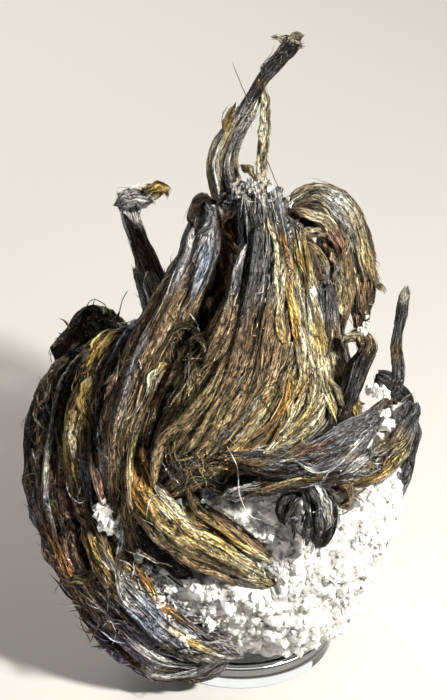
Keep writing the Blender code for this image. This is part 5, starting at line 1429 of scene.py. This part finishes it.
def dress_wires(context, names, all_round=False, front=True):
    """Makes the visible piece of each named wire, with all that lies on it."""
    settings = context.scene.silver_settings
    order = list(SEEN_WIRES) + list(HIDDEN_WIRES)
    for name in names:
        seed = 100 * (order.index(name) + 1)
        tints, density, depth = LOOKS[name]
        slot, path = path_of(name)
        depth *= settings.ridge_depth / MM
        area = path[0][-1] * 2 * math.pi * float(mean_radii(path).mean())
        count = round(area * density * settings.strands)
        knob = KNOBS.get(name, PLAIN_KNOB)
        fine = 1.0 if front else BACK_FINENESS
        patches = [wire_skin(path, tints, depth, seed, front, knob, fine, 0.0 if all_round else CROWDING)]
        patches += wire_strands(path, tints, depth, seed, front, knob, count, all_round)
        # laid ropes, with painted highlights and painted shade among them
        for laid_seed, (host, tints_along, half_width, lift, pixels) in enumerate(LAID_ROPES_AND_PAINTED_LIGHT, LAID_SEED):
            if host == name:
                laid = trace(laid_route(host, pixels, lift, half_width, laid_seed), FORWARD, LAID_LEAST)
                count = round(laid[0][-1] * 2 * math.pi * half_width * LAID_DENSITY * settings.strands)
                look = (laid, tints_along, LAID_RIDGE, laid_seed, False)
                patches.append(wire_skin(*look, LAID_KNOB, LAID_FINENESS))
                patches += wire_strands(*look, PLAIN_KNOB, count, True)
        for hair_seed, (host, tint, lift, pixels) in enumerate(HAIRS, HAIR_SEED):
            if host == name:
                patches.append(hair_patch(host, pixels, tint, lift, hair_seed))
        for wild_seed, region in enumerate(WILD, WILD_SEED):
            if region[0] == name:
                patches.append(wild_strands(region, wild_seed))
        smooth = [True] * len(patches)
        if name == "centre_sheaf":
            patches += apex_crusts(seed)
            smooth += [False] * len(CRUSTS)
        make_mesh_piece(f"silver_{name}", patches, silver_material(slot, settings), name, smooth)


def heart_directions(around, levels):
    """Unit directions on a grid of turns round the up axis and heights, with both poles left out."""
    turn = (np.arange(around) * 2 * math.pi / around)[None, :]
    height = np.linspace(-math.pi / 2, math.pi / 2, levels + 2)[1:-1][:, None]
    x = np.cos(height) * np.cos(turn)
    z = np.cos(height) * np.sin(turn)
    y = np.sin(height) * np.ones_like(turn)
    return np.stack([x, y, z], axis=-1)


def folded_noise(directions, scale, place, seed):
    """Noise folded about its middle, so that it meets in sharp valleys."""
    return np.abs(lump_noise(directions * scale + place, seed) - 0.5) * 2


def egg(directions):
    """Points of the calcite lump: its middle + reach x direction x (1 + lumps and crags of two sizes)."""
    swell = 1
    for *pattern, height in LUMPS:
        scale, place, seed = pattern
        swell = swell + height * (lump_noise(directions * scale + place, seed) - 0.5)
    for *pattern, height in CRAGS:
        swell = swell + height * (folded_noise(directions, *pattern) - CRAG_REST)
    return np.array(HEART_MIDDLE) + np.array(HEART_REACH) * directions * swell[..., None]


def painted_crevice_shade(directions):
    """How light the calcite is: white on its crags, with painted grey shade in the valleys between them."""
    tone = 1.0
    for (*pattern, _), (gain, darkness) in zip(CRAGS, VALLEY_SHADE):
        raised = np.clip(folded_noise(directions, *pattern) * gain, 0, 1)
        tone = tone * (1 - darkness + darkness * raised)
    return tone


def with_painted_calcite_shade(colours, points):
    """Colours darkened to black as painted shade where the calcite lies under the silver, up and to the left,
    and in its hollows. The shaded edge is spread over a band of the picture."""
    x, y = pixel_of(points)
    edge = SHADE_EDGE_Y + (x - SHADE_EDGE_X) * SHADE_SLOPE
    share = np.clip((edge - y) / SHADE_EASE, 0, 1)
    for hollow_x, hollow_y, reach in SHADED_HOLLOWS:
        inside = 1.6 * np.exp(-((x - hollow_x) ** 2 + (y - hollow_y) ** 2) / reach**2)
        share = np.maximum(share, np.clip(inside, 0, 1) * (points[:, 2] > HEART_MIDDLE[2]))
    return colours + share[:, None] * (np.array(TINTS["black"]) - colours)


def all_wire_rows():
    """Rows of every wire, each with how long a stretch it stands for."""
    found = []
    for name in (*SEEN_WIRES, *HIDDEN_WIRES):
        marks, rows = path_of(name)[1]
        picked = rows[::PRESS_STEP]
        found.append(np.hstack([picked, np.full((len(picked), 1), marks[-1] / len(picked))]))
    return np.vstack(found)


def sunk_under_wires(points):
    """The lump's points pressed in under the wires that lie on it. Where a point is beside a wire's row by
    less than its half width, it goes down until it is under the wire's middle."""
    flat = points.reshape(-1, 3)
    down = np.zeros(len(flat))
    inwards = unit(np.array(HEART_MIDDLE) - flat)
    for row in all_wire_rows():
        offset = flat - row[0:3]
        along = np.abs(offset @ row[3:6])
        beside = np.abs(offset @ row[6:9]) / (row[12] + PRESS_MARGIN)
        above = offset @ row[9:12] + row[13] * PRESS_MARGIN
        bowl = above * np.sqrt(np.clip(1 - beside**2, 0, 1))
        press = np.where((along < row[14] * 1.2) & (beside < 1), bowl, 0)
        down = np.maximum(down, np.clip(press, 0, DEEPEST_PRESS))
    return (flat + inwards * down[:, None]).reshape(points.shape)


def grid_triangles(levels, around):
    """Triangles of a closed ball: rings of quads, and a fan at each pole. They face outwards."""
    level = np.arange(levels)[:, None] * around
    side = np.arange(around)[None, :]
    here = level + side
    beside = level + (side + 1) % around
    a, b, c, d = here[:-1], beside[:-1], beside[1:], here[1:]
    walls = np.stack([np.stack([a, d, c], axis=-1), np.stack([a, c, b], axis=-1)]).reshape(-1, 3)
    bottom = np.stack([np.full(around, levels * around), here[0], beside[0]], axis=-1)
    top = np.stack([np.full(around, levels * around + 1), beside[-1], here[-1]], axis=-1)
    return np.vstack([walls, bottom, top])


def seated(points):
    """Leaning points kept above the seat: what would be lower is moved up to it."""
    lean = math.radians(LEAN)
    height = points[..., 1] * math.cos(lean) + points[..., 2] * math.sin(lean)
    lack = np.clip(SEAT_HEIGHT - height, 0, None)[..., None]
    return points + lack * np.array([0.0, math.cos(lean), math.sin(lean)])


def fleck_share(points):
    """How thick the dark flecks lie at a point: clusters of cell noise, thicker on the right."""
    clusters = lump_noise(points * 0.9 + 40.0, 21)
    right = np.clip((points[..., 0] - 2.0) / 8.0, 0, 1)
    return np.clip((clusters - 0.6) * 3.0, 0, 1) * 0.45 + 0.07 * right + 0.01


def placed_on_front(x, y):
    """Leaning points on the front at pixels; where nothing is there, they lie the bare depth out."""
    out = np.full(len(x), HEART_MIDDLE[2] + HEART_REACH[2])
    for _ in range(FRONT_PASSES):
        found = front_at(*seen_at(x, y, out))
        out = np.where(found > NOTHING / 2, found, BARE_OUT)
    across, up = seen_at(x, y, out)
    return np.stack([across, up, out], axis=1)


def make_calcite(context):
    """The calcite lump: its knobbly egg, blocks, patches between the wires and sugary grains."""
    settings = context.scene.calcite_settings
    rng = np.random.default_rng(GRAIN_SEED)
    white = np.array(settings.colour)
    directions = heart_directions(HEART_AROUND, HEART_LEVELS)
    points = seated(sunk_under_wires(egg(directions)))
    low = seated(egg(np.array([[0.0, -1.0, 0.0]])))
    high = egg(np.array([[0.0, 1.0, 0.0]]))
    body = np.vstack([points.reshape(-1, 3), low, high])
    dirt = lump_noise(body * 1.7 + 20.0, 14)
    fleck = rng.random(len(body)) < fleck_share(body) * 0.25
    # the lump's colour takes painted grey shade in the valleys between its crags
    valleys = np.concatenate([painted_crevice_shade(directions).ravel(), [1.0, 1.0]])
    colours = white * ((0.82 + 0.2 * dirt) * valleys)[:, None]
    # painted shade: the calcite goes black under the silver and in its hollows
    colours = with_painted_calcite_shade(np.where(fleck[:, None], np.array(TINTS["charcoal"]), colours), body)
    patches = [(body, grid_triangles(HEART_LEVELS, HEART_AROUND), colours, body)]

    picked = unit(rng.normal(size=(settings.grains * 2, 3)) + np.array(GRAIN_CENTRE))[:settings.grains]
    surface = egg(picked)
    sunk = sunk_under_wires(surface)
    shown = np.linalg.norm(surface - sunk, axis=1) < DEEPEST_GRAIN
    centres = seated(sunk[shown])
    count = len(centres)
    edges = rng.uniform(*GRAIN_EDGES, count) * (0.7 + 1.0 * rng.random(count) ** 5)
    centres += unit(centres - np.array(HEART_MIDDLE)) * rng.uniform(-0.08, 0.06, count)[:, None]
    # the grains take the same painted grey shade in the valleys
    shade = rng.uniform(*GRAIN_SHADE, (count, 1)) * painted_crevice_shade(picked[shown])[:, None]
    dark = rng.random(count) < fleck_share(centres)
    edges = np.where(dark, edges * 0.7, edges)
    grey = np.array(TINTS["slate"]) * rng.uniform(0.2, 1.6, (count, 1))
    # the grains take the same painted shade under the silver and in the hollows
    colours = with_painted_calcite_shade(np.where(dark[:, None], grey, white * shade), centres)
    patches.append(block_patch(centres, edges, random_turns(rng, count), colours))

    x, y, size = np.array(CRYSTALS).T
    shape = (len(x), BLOCKS_IN_CRYSTAL)
    spread = unit(rng.normal(size=(*shape, 3))) * rng.uniform(0.1, 0.5, (*shape, 1))
    sunk_middle = placed_on_front(x, y)[:, None] + spread * size[:, None, None] + np.array([0, 0, -0.2])
    centres = sunk_middle.reshape(-1, 3)
    edges = np.repeat(size, BLOCKS_IN_CRYSTAL) * rng.uniform(0.2, 0.42, len(centres))
    colours = np.broadcast_to(white, centres.shape)
    patches.append(block_patch(centres, edges, random_turns(rng, len(centres)), colours))

    x, y, wide, tall, depth = np.array(CALCITE_PATCHES).T
    shape = (len(x), BLOCKS_IN_PATCH)
    behind = np.column_stack([*seen_at(x, y, depth), depth])
    middle = np.where((depth > 0)[:, None], behind, placed_on_front(x, y))[:, None]
    reach = np.stack([wide, tall, np.full(len(x), PATCH_DEPTH)], axis=1)[:, None]
    spread = unit(rng.normal(size=(*shape, 3))) * rng.uniform(0.1, 0.9, (*shape, 1))
    centres = (middle + spread * reach).reshape(-1, 3)
    edges = np.repeat(np.minimum(wide, tall), BLOCKS_IN_PATCH) * rng.uniform(0.3, 0.75, len(centres))
    turns = random_turns(rng, len(centres))
    colours = white * rng.uniform(0.85, 1.06, (len(centres), 1))
    patches.append(block_patch(centres, edges, turns, colours))
    smooth = [True, False, False, False]
    make_mesh_piece("calcite_lump", patches, calcite_material(settings), "calcite_matrix", smooth)


def make_disc(context):
    """The clear disc: a profile turned about the upright axis, with a rounded top edge."""
    settings = context.scene.disc_settings
    edge = settings.edge / MM
    bend = np.linspace(0, math.pi / 2, DISC_EDGE_RINGS)
    far, near = DISC_FOOT
    radius = np.concatenate([[DISC_RADIUS - far, DISC_RADIUS - near, DISC_RADIUS],
                             DISC_RADIUS - edge + edge * np.cos(bend), [DISC_RADIUS * 0.5]])
    height = np.concatenate([[0.0, near, far], DISC_THICKNESS - edge + edge * np.sin(bend), [DISC_THICKNESS]])
    turn = (np.arange(DISC_AROUND) * 2 * math.pi / DISC_AROUND)[None, :]
    x = radius[:, None] * np.cos(turn)
    y = -radius[:, None] * np.sin(turn)
    z = height[:, None] * np.ones_like(turn)
    rings = np.stack([x, y, z], axis=-1).reshape(-1, 3)
    points = np.vstack([rings, (0, 0, 0), (0, 0, DISC_THICKNESS)]) * MM
    triangles = grid_triangles(len(radius), DISC_AROUND)
    mesh = bpy.data.meshes.new("clear_disc")
    mesh.from_pydata(points, [], triangles)
    mesh.shade_smooth()
    mesh.set_sharp_from_angle(angle=math.radians(50))
    mesh.materials.append(acrylic_material(settings))
    piece = bpy.data.objects.new("clear_disc", mesh)
    bpy.context.scene.collection.objects.link(piece)
    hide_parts("display_disc")
    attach(piece, "root")


def aimed_light(name, place, target, size, power, colour):
    """An area light at a place, turned to look at a target, both in millimetres of the world."""
    light = bpy.data.lights.new(name, "AREA")
    light.shape = "DISK"
    light.size = size * MM
    light.energy = power
    light.color = colour
    thing = bpy.data.objects.new(name, light)
    thing.location = Vector(place) * MM
    thing.rotation_euler = (Vector(target) - Vector(place)).to_track_quat("-Z", "Y").to_euler()
    bpy.context.scene.collection.objects.link(thing)


def make_stage(context):
    """A pale floor, a key light from the upper right, a soft fill, a back light, a low one and the camera."""
    settings = context.scene.stage_settings
    side = settings.floor_side / 2
    mesh = bpy.data.meshes.new("floor")
    low = -FLOOR_GAP * MM
    corners = [(-side, -side, low), (side, -side, low), (side, side, low), (-side, side, low)]
    mesh.from_pydata(corners, [], [(0, 1, 2, 3)])
    material, _, shader = new_material("pale floor")
    shader.inputs["Base Color"].default_value = (*settings.floor_colour, 1.0)
    shader.inputs["Roughness"].default_value = FLOOR_ROUGHNESS
    mesh.materials.append(material)
    floor = bpy.data.objects.new("floor", mesh)
    context.scene.collection.objects.link(floor)

    for name, place, height, size, power, colour in LIGHTS:
        aimed_light(name, place, (0, 0, height), size, getattr(settings, power), colour)
    world = bpy.data.worlds.new("room")
    world.use_nodes = True
    background = world.node_tree.nodes["Background"]
    background.inputs["Color"].default_value = (*ROOM_COLOUR, 1.0)
    background.inputs["Strength"].default_value = settings.room_light
    context.scene.world = world
    context.scene.view_settings.view_transform = "Standard"

    lean = math.radians(LEAN)
    right = Vector((1, 0, 0))
    up = Vector((0, math.sin(lean), math.cos(lean)))
    camera = bpy.data.cameras.new("camera")
    camera.sensor_width = CAMERA_SENSOR
    camera.lens = camera.sensor_width * FOCAL_PIXELS / PICTURE_HEIGHT
    camera.clip_start = CLIP_START
    thing = bpy.data.objects.new("camera", camera)
    place = Vector(leaning_to_world((EYE_ACROSS, EYE_UP, EYE_OUT)))
    turned = Matrix((right, up, right.cross(up))).transposed().to_4x4()
    thing.matrix_world = Matrix.Translation(place) @ turned
    context.scene.collection.objects.link(thing)
    context.scene.camera = thing


class SilverSettings(bpy.types.PropertyGroup):
    """Sizes and finish of the silver."""

    ridge_depth: bpy.props.FloatProperty(
        name="Ridge depth", description="Scales the depth of the wires' ridges: 1 mm leaves it as it is",
        default=0.001, min=0.0, max=0.003, unit="LENGTH", precision=5)
    strands: bpy.props.FloatProperty(
        name="Strands", description="Share of the strands that are laid on the wires",
        default=1.12, min=0.1, max=2.0, subtype="FACTOR")
    metallic: bpy.props.FloatProperty(
        name="Metallic", description="How metallic the tarnished surface is",
        default=0.75, min=0.0, max=1.0, subtype="FACTOR")
    relief: bpy.props.FloatProperty(
        name="Fine relief", description="Depth of the finest streaks along the wires",
        default=0.0001, min=0.0, max=0.0005, unit="LENGTH", precision=6)


class CalciteSettings(bpy.types.PropertyGroup):
    """Colour and grain of the calcite."""

    colour: bpy.props.FloatVectorProperty(
        name="Colour", description="Colour of clean calcite",
        default=(0.84, 0.835, 0.81), size=3, subtype="COLOR",
        min=0.0, max=1.0)
    roughness: bpy.props.FloatProperty(
        name="Roughness", description="Roughness of the cleavage faces", default=0.45, min=0.0, max=1.0,
        subtype="FACTOR")
    glow: bpy.props.FloatProperty(
        name="Glow", description="How much light passes just under the surface",
        default=0.15, min=0.0, max=1.0,
        subtype="FACTOR")
    grains: bpy.props.IntProperty(
        name="Grains", description="Number of small blocks on the lump", default=4600, min=0, max=9000,
        subtype="UNSIGNED")


class DiscSettings(bpy.types.PropertyGroup):
    """The clear disc."""

    edge: bpy.props.FloatProperty(
        name="Edge radius", description="Radius of the disc's rounded top edge", default=0.0005, min=0.0001,
        max=0.0009, unit="LENGTH", precision=5)
    colour: bpy.props.FloatVectorProperty(
        name="Colour", description="Tint of the acrylic",
        default=(0.93, 0.97, 0.985), size=3, subtype="COLOR",
        min=0.0, max=1.0)


class StageSettings(bpy.types.PropertyGroup):
    """Floor and lights."""

    floor_side: bpy.props.FloatProperty(
        name="Floor side", description="Length of the floor's side",
        default=3.0, min=0.5, max=10.0, unit="LENGTH")
    floor_colour: bpy.props.FloatVectorProperty(
        name="Floor colour", description="Colour of the floor",
        default=(0.64, 0.63, 0.615), size=3, subtype="COLOR",
        min=0.0, max=1.0)
    key_power: bpy.props.FloatProperty(
        name="Key light", description="Power of the light from the upper right",
        default=0.57, min=0.0, unit="POWER")
    fill_power: bpy.props.FloatProperty(
        name="Fill light", description="Power of the light from the left",
        default=0.045, min=0.0, unit="POWER")
    back_power: bpy.props.FloatProperty(
        name="Back light", description="Power of the light from behind", default=0.1, min=0.0, unit="POWER")
    low_power: bpy.props.FloatProperty(
        name="Low light", description="Power of the wide low light behind the disc", default=0.16, min=0.0,
        unit="POWER")
    room_light: bpy.props.FloatProperty(
        name="Room light", description="Strength of the even light all round", default=0.05, min=0.0, max=2.0,
        subtype="FACTOR")


class SPECIMEN_OT_stage(bpy.types.Operator):
    """Make the floor, the lights and the camera"""

    bl_idname = "specimen.stage"
    bl_label = "Stage"

    def execute(self, context):
        make_stage(context)
        return {"FINISHED"}


class SPECIMEN_OT_disc(bpy.types.Operator):
    """Make the clear disc that the specimen stands on"""

    bl_idname = "specimen.disc"
    bl_label = "Clear disc"

    def execute(self, context):
        make_disc(context)
        return {"FINISHED"}


class SPECIMEN_OT_calcite(bpy.types.Operator):
    """Make the white calcite with its blocks, grains and dark flecks"""

    bl_idname = "specimen.calcite"
    bl_label = "Calcite"

    def execute(self, context):
        make_calcite(context)
        return {"FINISHED"}


class SPECIMEN_OT_front_sheaves(bpy.types.Operator):
    """Make the sheaves that rise up the front"""

    bl_idname = "specimen.front_sheaves"
    bl_label = "Front sheaves"

    def execute(self, context):
        dress_wires(context, ("centre_sheaf", "left_sheaf", "right_sheaf", "right_outer_sheaf", "gap_strand",
                              "left_blade"))
        return {"FINISHED"}


class SPECIMEN_OT_left_sweep(bpy.types.Operator):
    """Make the ropes that sweep down the left side"""

    bl_idname = "specimen.left_sweep"
    bl_label = "Left sweep"

    def execute(self, context):
        dress_wires(context, ("left_mid_rope", "left_edge_rope", "left_tangle"))
        return {"FINISHED"}


class SPECIMEN_OT_lower_curls(bpy.types.Operator):
    """Make the curls and bands that wrap the lower front"""

    bl_idname = "specimen.lower_curls"
    bl_label = "Lower curls"

    def execute(self, context):
        dress_wires(context, ("inner_curl", "inner_strand", "lower_band", "lower_outer_band", "lower_rim"))
        return {"FINISHED"}


class SPECIMEN_OT_crossing_wires(bpy.types.Operator):
    """Make the wires that cross the front from the right"""

    bl_idname = "specimen.crossing_wires"
    bl_label = "Crossing wires"

    def execute(self, context):
        dress_wires(context, ("cross_rope", "cross_tip", "dark_hook", "dark_fan", "hooked_wire",
                              "upright_wire", "right_rough_rope", "right_loop"))
        return {"FINISHED"}


class SPECIMEN_OT_back_curl(bpy.types.Operator):
    """Make the broad curl behind the sheaves on the right"""

    bl_idname = "specimen.back_curl"
    bl_label = "Back curl"

    def execute(self, context):
        dress_wires(context, ("back_curl_plate", "back_curl_inner", "back_curl_outer"), all_round=True)
        return {"FINISHED"}


class SPECIMEN_OT_top_wires(bpy.types.Operator):
    """Make the free wires: the bent one at the top, the fine one beside it and the curl on the left"""

    bl_idname = "specimen.top_wires"
    bl_label = "Top wires"

    def execute(self, context):
        dress_wires(context, ("top_wire", "gold_wire", "left_curl"), all_round=True)
        return {"FINISHED"}


class SPECIMEN_OT_back_wires(bpy.types.Operator):
    """Make the three broad wires of the back"""

    bl_idname = "specimen.back_wires"
    bl_label = "Back wires"

    def execute(self, context):
        dress_wires(context, tuple(HIDDEN_WIRES), front=False)
        return {"FINISHED"}


OPERATORS = (
    SPECIMEN_OT_stage, SPECIMEN_OT_disc, SPECIMEN_OT_calcite, SPECIMEN_OT_front_sheaves,
    SPECIMEN_OT_left_sweep, SPECIMEN_OT_lower_curls, SPECIMEN_OT_crossing_wires, SPECIMEN_OT_back_curl,
    SPECIMEN_OT_top_wires, SPECIMEN_OT_back_wires,
)


class SPECIMEN_PT_panel(bpy.types.Panel):
    """The specimen's settings and one button for each of its parts"""

    bl_idname = "SPECIMEN_PT_panel"
    bl_label = "Native silver specimen"
    bl_space_type = "VIEW_3D"
    bl_region_type = "UI"
    bl_category = "Specimen"

    def draw(self, context):
        scene = context.scene
        for group in GROUPS:
            settings = getattr(scene, group)
            box = self.layout.box()
            for name in settings.bl_rna.properties.keys():
                if name not in {"rna_type", "name"}:
                    box.prop(settings, name)
        for operator in OPERATORS:
            self.layout.operator(operator.bl_idname)


GROUPS = {
    "silver_settings": SilverSettings,
    "calcite_settings": CalciteSettings,
    "disc_settings": DiscSettings,
    "stage_settings": StageSettings,
}


def register():
    for group in GROUPS.values():
        bpy.utils.register_class(group)
    for name, group in GROUPS.items():
        setattr(bpy.types.Scene, name, bpy.props.PointerProperty(type=group))
    for operator in OPERATORS:
        bpy.utils.register_class(operator)
    bpy.utils.register_class(SPECIMEN_PT_panel)


def unregister():
    bpy.utils.unregister_class(SPECIMEN_PT_panel)
    for operator in reversed(OPERATORS):
        bpy.utils.unregister_class(operator)
    for name in GROUPS:
        delattr(bpy.types.Scene, name)
    for group in reversed(GROUPS.values()):
        bpy.utils.unregister_class(group)


def main():
    register()
    bpy.ops.specimen.stage()
    bpy.ops.specimen.disc()
    bpy.ops.specimen.calcite()
    bpy.ops.specimen.front_sheaves()
    bpy.ops.specimen.left_sweep()
    bpy.ops.specimen.lower_curls()
    bpy.ops.specimen.crossing_wires()
    bpy.ops.specimen.back_curl()
    bpy.ops.specimen.top_wires()
    bpy.ops.specimen.back_wires()


if __name__ == "__main__":
    main()
